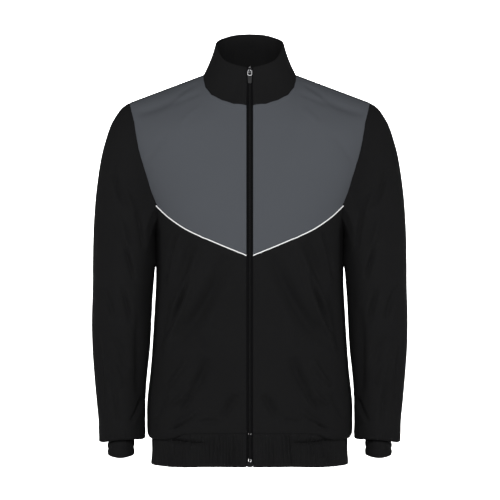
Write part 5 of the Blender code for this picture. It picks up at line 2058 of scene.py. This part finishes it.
@dataclass
class SliderAndPull:
    """Slider body, its bridge, the wire loop and the moulded tab, in millimetres."""

    zip_: Zip
    height: float = 12.0
    loop_wire: float = 0.58
    loop_half: float = 3.65
    loop_drop: float = 9.9
    loop_corner: float = 2.2
    tab_gap: float = 0.34
    tab_length: float = 14.5
    tab_top: float = 4.1
    tab_foot: float = 3.2
    tab_half_thick: float = 1.0

    def pivot(self) -> Matrix:
        """Place of the pull's axis."""
        return self.zip_.frame() @ Matrix.Translation((0, self.zip_.pull_out, self.zip_.pull_up))

    def slider(self, highlight_finish: Finish, shade_finish: Finish) -> Thing:
        """Two shield-shaped plates, the wedge between them, the crown and the bridge in front: the crown in
        bright metal as a painted highlight, the rest in dark metal as painted shade.

        Args:
            highlight_finish: Material of the crown.
            shade_finish: Material of the rest.

        Returns:
            The piece.
        """
        half = self.height / 2
        shield = mirrored_outline([
            (2.9, -half), (4.0, -half + 1.5), (4.0, 0.8), (3.1, half - 1.6), (1.5, half)])
        smaller = [(x * 0.86, z) for x, z in shield]
        front = plate(shield, 0.35, 1.65, 0.35)
        back = plate(smaller, 5.05, 6.15, 0.3)
        wedge = plate(mirrored_outline([(0.7, 1.8), (1.9, 4.2), (1.2, half - 0.4)]), 0.7, 5.9, 0.2)
        rail = [(3.0, -4.8), (3.9, -4.8), (3.9, 1.2), (3.0, 1.2)]
        rails = [plate([(s * x, z) for x, z in rail][::s], 1.2, 2.3, 0.25) for s in (1, -1)]
        turn = np.linspace(0, np.pi, 15)
        arch = [(0, -0.2 - 3.0 * math.sin(a) ** 0.6, 0.5 - 3.9 * math.cos(a)) for a in turn]
        bar = tube("bridge", np.array(arch) * MM, 0.95 * MM, False)
        bar.data.transform(self.zip_.frame())
        crown = plate(mirrored_outline([(0.9, 3.6), (1.7, 4.5), (1.1, half - 0.1)]), -0.6, 0.9, 0.3)
        body = placed("slider_body", [front, back, wedge, *rails], self.zip_.frame())
        top = placed("slider_crown", [crown], self.zip_.frame())
        # Painted highlight and shade: the crown takes the bright copy of the slider's metal where highlights
        # show, and the plates, rails and bridge take the dark copy for the metal's dark reflections.
        body.data.materials.append(shade_finish)
        bar.data.materials.append(shade_finish)
        top.data.materials.append(highlight_finish)
        return join("slider", [body, bar, top])

    def loop(self) -> Thing:
        """Wire loop that hangs from the bridge.

        Returns:
            The piece.
        """
        points = []
        for quarter, (x, z) in enumerate(((1, 0), (-1, 0), (-1, -1), (1, -1))):
            middle = np.array([x * (self.loop_half - self.loop_corner), 0.0,
                               z * (self.loop_drop - 2 * self.loop_corner) - self.loop_corner])
            for step in range(7):
                angle = math.pi / 2 * (quarter + step / 6)
                points.append(middle + self.loop_corner * np.array([math.cos(angle), 0, math.sin(angle)]))
        wire = tube("pull_loop", np.array(points) * MM, self.loop_wire * MM, True)
        wire.data.transform(self.pivot())
        return wire

    def tab(self) -> Thing:
        """Moulded tab: rounded at both ends, with four grip ridges.

        Returns:
            The piece.
        """
        top = -self.loop_drop - self.loop_wire - self.tab_gap
        foot = top - self.tab_length
        thick = self.tab_half_thick
        outline = mirrored_outline([(self.tab_foot - 1.2, foot), (self.tab_foot, foot + 1.3),
                               (self.tab_top, top - 1.2), (self.tab_top - 1.0, top)])
        meshes = [plate(outline, -thick + 0.25, thick, 0.35)]
        for share in (0.35, 0.5, 0.65, 0.8):
            z = top + (foot - top) * share
            wide = self.tab_top + (self.tab_foot - self.tab_top) * share - 0.9
            meshes.append(plate([(-wide, z - 0.4), (wide, z - 0.4), (wide, z + 0.4), (-wide, z + 0.4)],
                                -thick, 0, 0.18))
        return placed("pull_tab", meshes, self.pivot())


def bottom_box(node: str) -> Thing:
    """Box that holds the zip's lower end: a rounded block with a raised face and a line down its middle.

    Args:
        node: CAD node of the box.

    Returns:
        The piece.
    """
    low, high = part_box(node)
    middle, size = (low + high) / 2, (high - low) / MM
    wide, tall, deep = size.x / 2, size.z / 2, size.y / 2
    outline = mirrored_outline([
        (1.5, -tall - 0.9), (3.6, -tall - 0.6), (wide - 0.9, -tall + 0.2), (wide - 0.3, -tall + 1.4),
        (wide, 0.4), (wide - 0.5, tall - 0.9), (wide - 1.4, tall)])
    block = plate(outline, -deep + 0.4, deep, 0.4)
    face = plate(mirrored_outline([(wide - 1.6, -tall + 0.8), (wide - 1.6, -1.0)]), -deep, 0, 0.3)
    split = plate([(-0.35, -tall + 0.4), (0.35, -tall + 0.4), (0.35, tall - 0.3), (-0.35, tall - 0.3)],
                  -deep + 0.1, 0, 0.15)
    return placed("bottom_box", [block, face, split], Matrix.Translation(middle))


# --- studio


@dataclass(frozen=True)
class Softbox:
    """Area light: where it stands, where it points, its size in metres and its power in watts."""

    name: str
    place: tuple[float, float, float]
    aim: tuple[float, float, float]
    size: float
    power: float


SOFTBOXES = (
    Softbox("key", (0.0, -5.2, 1.9), (0.0, 0.0, -0.35), 1.1, 172.0),
    Softbox("left_side", (-3.0, -1.5, 0.0), (0.0, 0.0, -0.35), 0.8, 24.0),
    Softbox("right_side", (3.0, -1.5, 0.0), (0.0, 0.0, -0.35), 0.8, 24.0),
    Softbox("floor_wash", (0.0, 1.6, 1.6), (0.0, 4.6, -0.4), 1.6, 300.0),
    Softbox("wall_wash", (0.0, 4.6, 1.8), (0.0, 7.6, -0.2), 1.6, 320.0),
)


@dataclass
class Studio:
    """White sweep behind the jacket, softboxes ahead of it and the camera."""

    camera_y: float = -6.0
    camera_z: float = -0.3219
    lens: float = 233.5
    shift_x: float = 0.0005
    floor_z: float = -0.95
    sweep_y: float = 6.8
    half_width: float = 7.0
    floor_start_y: float = -8.0
    wall_top_z: float = 1.6
    bend: float = 1.0
    sky: float = 0.12
    sensor: float = 36.0
    far: float = 50.0

    def build(self) -> None:
        """Makes the sweep, the lights and the camera."""
        self.sweep()
        for box in SOFTBOXES:
            data = bpy.data.lights.new(box.name, "AREA")
            data.energy, data.size = box.power, box.size
            lamp = add_object(box.name, data)
            lamp.location = box.place
            lamp.rotation_euler = (Vector(box.aim) - Vector(box.place)).to_track_quat("-Z", "Y").to_euler()
        world = bpy.data.worlds.new("studio")
        world.use_nodes = True
        light = world.node_tree.nodes["Background"].inputs
        light["Color"].default_value, light["Strength"].default_value = (1, 1, 1, 1), self.sky
        bpy.context.scene.world = world
        data = bpy.data.cameras.new("camera")
        data.lens, data.sensor_width = self.lens, self.sensor
        data.shift_x, data.clip_end = self.shift_x, self.far
        camera = add_object("camera", data)
        camera.location = (0, self.camera_y, self.camera_z)
        camera.rotation_euler = (math.pi / 2, 0, 0)
        bpy.context.scene.camera = camera
        bpy.context.scene.view_settings.view_transform = "Standard"

    def sweep(self) -> None:
        """Pale floor that curves up into a wall."""
        profile = [(self.floor_start_y, self.floor_z)]
        for angle in np.linspace(0, np.pi / 2, 13):
            profile.append((self.sweep_y + self.bend * math.sin(angle),
                            self.floor_z + self.bend * (1 - math.cos(angle))))
        profile.append((self.sweep_y + self.bend, self.wall_top_z))
        points = np.array([(x, y, z) for x in (-self.half_width, self.half_width) for y, z in profile])
        count = len(profile)
        faces = [(i, i + count, i + count + 1, i + 1) for i in range(count - 1)]
        floor = make_object("floor", points, faces)
        paper = SmoothFinish("paper", (0.93, 0.93, 0.93), 0.9, grain=30.0, spread=0.004)
        floor.data.materials.append(paper.material())


# --- the whole jacket

PALETTE = (
    KnitFinish("black_knit_cloth", (0.0098, 0.0098, 0.0102)),
    KnitFinish("grey_knit_cloth", (0.083, 0.089, 0.1), spread=0.04),
    TapeFinish("zip_tape_cloth", (0.0055, 0.0055, 0.006)),
    SmoothFinish("coil_nylon", (0.0075, 0.0075, 0.008), 0.7, gloss=0.12),
    SmoothFinish("black_thread", (0.012, 0.012, 0.0125), 0.8, gloss=0.15, strength=0.2),
    SmoothFinish("grey_thread", (0.11, 0.118, 0.13), 0.8, gloss=0.15, strength=0.2),
    SmoothFinish("white_satin", (0.95, 0.95, 0.95), 0.5, grain=1600.0, strength=0.2),
    # Two copies of the slider's metal: the bright one is a painted highlight on the crown and the loop's own
    # bright metal, and the dark one is painted shade on the slider's body and bridge.
    SmoothFinish("bright_plating", (0.78, 0.78, 0.8), 0.35, 0.55),
    SmoothFinish("dark_plating", (0.035, 0.035, 0.037), 0.4, 1.0),
    SmoothFinish("grey_moulded", (0.023, 0.023, 0.024), 0.6, gloss=0.25, strength=0.15),
)


def main() -> None:
    """Builds every piece in order."""
    logging.basicConfig(level=logging.INFO, format="%(message)s")
    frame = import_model()
    Studio().build()
    seams = Seams(Figure())
    knit, grey, woven, coil, thread, pale_thread, cord, plating_and_highlight, shade_plating, moulding = (
        finish.material() for finish in PALETTE)

    panels, sleeve = BodyPanels(seams), Sleeve(seams)
    front, yoke = panels.front(), panels.yoke()
    collar, band = Collar(seams).outside(), HemBand(seams).outside()
    arm, cuff = sleeve.creased(), Cuff(sleeve).outside()
    dress(Wall("back_panel", panels.back()).build(), "back", knit)
    for side in Side:
        for word, outside, node, cloth, cut in (
                ("front_panel", front, "front", BODY_CLOTH, Cut(0.275, 0.425, 0.0946)),
                ("yoke_panel", yoke, "yoke", BODY_CLOTH, Cut(0.255, 0.305, 0.0572)),
                ("sleeve_cloth", arm, "sleeve", BODY_CLOTH, Cut(0.455, 0.6, 0.196)),
                ("cuff_rib", cuff, "cuff", RIB_CLOTH, Cut(0.2, 0.032, 0.0063))):
            slot, finish = ("grey_knit", grey) if node == "yoke" else ("black_knit", knit)
            lap = SLEEVE_LAP if node == "sleeve" else SEAM_LAP
            closed = node in ("sleeve", "cuff")
            wall = Wall(f"{word}_{side.label}", side.of(outside), cloth, closed, -lap)
            dress(wall.build(), f"{node}_{side.label}", finish)
    for word, outside, node, cut in (
            ("collar_stand", collar, "collar", Cut(0.45, 0.085, 0.0324)),
            ("hem_rib", band, "hem_band", Cut(1.13, 0.055, 0.062, Hold.GATHERED))):
        dress(Wall(word, outside, RIB_CLOTH).build(), node, knit)

    for side in Side:
        grid = side.of(front)
        path = grid[-1] + grid_normals(grid, False)[-1] * PIPING_RADIUS
        piece = tube(f"piping_cord_{side.label}", path, PIPING_RADIUS, False)
        dress(piece, f"piping_{side.label}", cord)

    line = ZipLine.along([(band, RIB_CLOTH), (front, BODY_CLOTH), (yoke, BODY_CLOTH), (collar, RIB_CLOTH)])
    fastener = Zip(line, hinge=tuple(frame["joints"][0]["pos_m"]))
    repeat = RepeatAlong("repeat_along_path")
    for side in Side:
        dress(fastener.tape(side), f"zip_tape_{side.label}", woven)
    dress(fastener.coils(repeat, coil), "zip_chain", coil)
    dress(bottom_box("zip_box"), "zip_box", coil)
    hard = SliderAndPull(fastener)
    dress(hard.slider(plating_and_highlight, shade_plating), "zip_slider")
    dress(hard.loop(), "zip_pull_loop", plating_and_highlight, body=PULL)
    dress(hard.tab(), "zip_pull_tab", moulding, body=PULL)

    stitch = bent_bar("stitch", STITCH, STITCH_RADIUS)
    neck_end = np.searchsorted(edge_ticks(FRONT_COLUMNS, panels.column_cuts), NECK_COLUMNS)
    neck = yoke[:, :neck_end + 1]
    ring = np.vstack([cuff[len(cuff) // 2], cuff[len(cuff) // 2][:1]])
    black_lines = [line_inside(grid, Edge.LEFT, EDGE_STITCH) for grid in (front, collar, band)]
    black_lines += [(ring, level_outward(ring, False)), hem_line(seams, HEM_CENTRE_Z + HEM_STITCH_RISE)]
    grey_lines = [line_inside(yoke, Edge.LEFT, EDGE_STITCH), line_inside(neck, Edge.TOP, NECK_STITCH)]
    for name, slot, finish, lines in (("black_stitches", "black_knit", thread, black_lines),
                                      ("grey_stitches", "grey_knit", pale_thread, grey_lines)):
        both = lines + [(path * MIRROR, way * MIRROR) for path, way in lines]
        piece = repeat.run(name, both, STITCH_PITCH, stitch, finish)
        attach(piece, GARMENT)
    bpy.data.objects.remove(stitch)


if __name__ == "__main__":
    main()
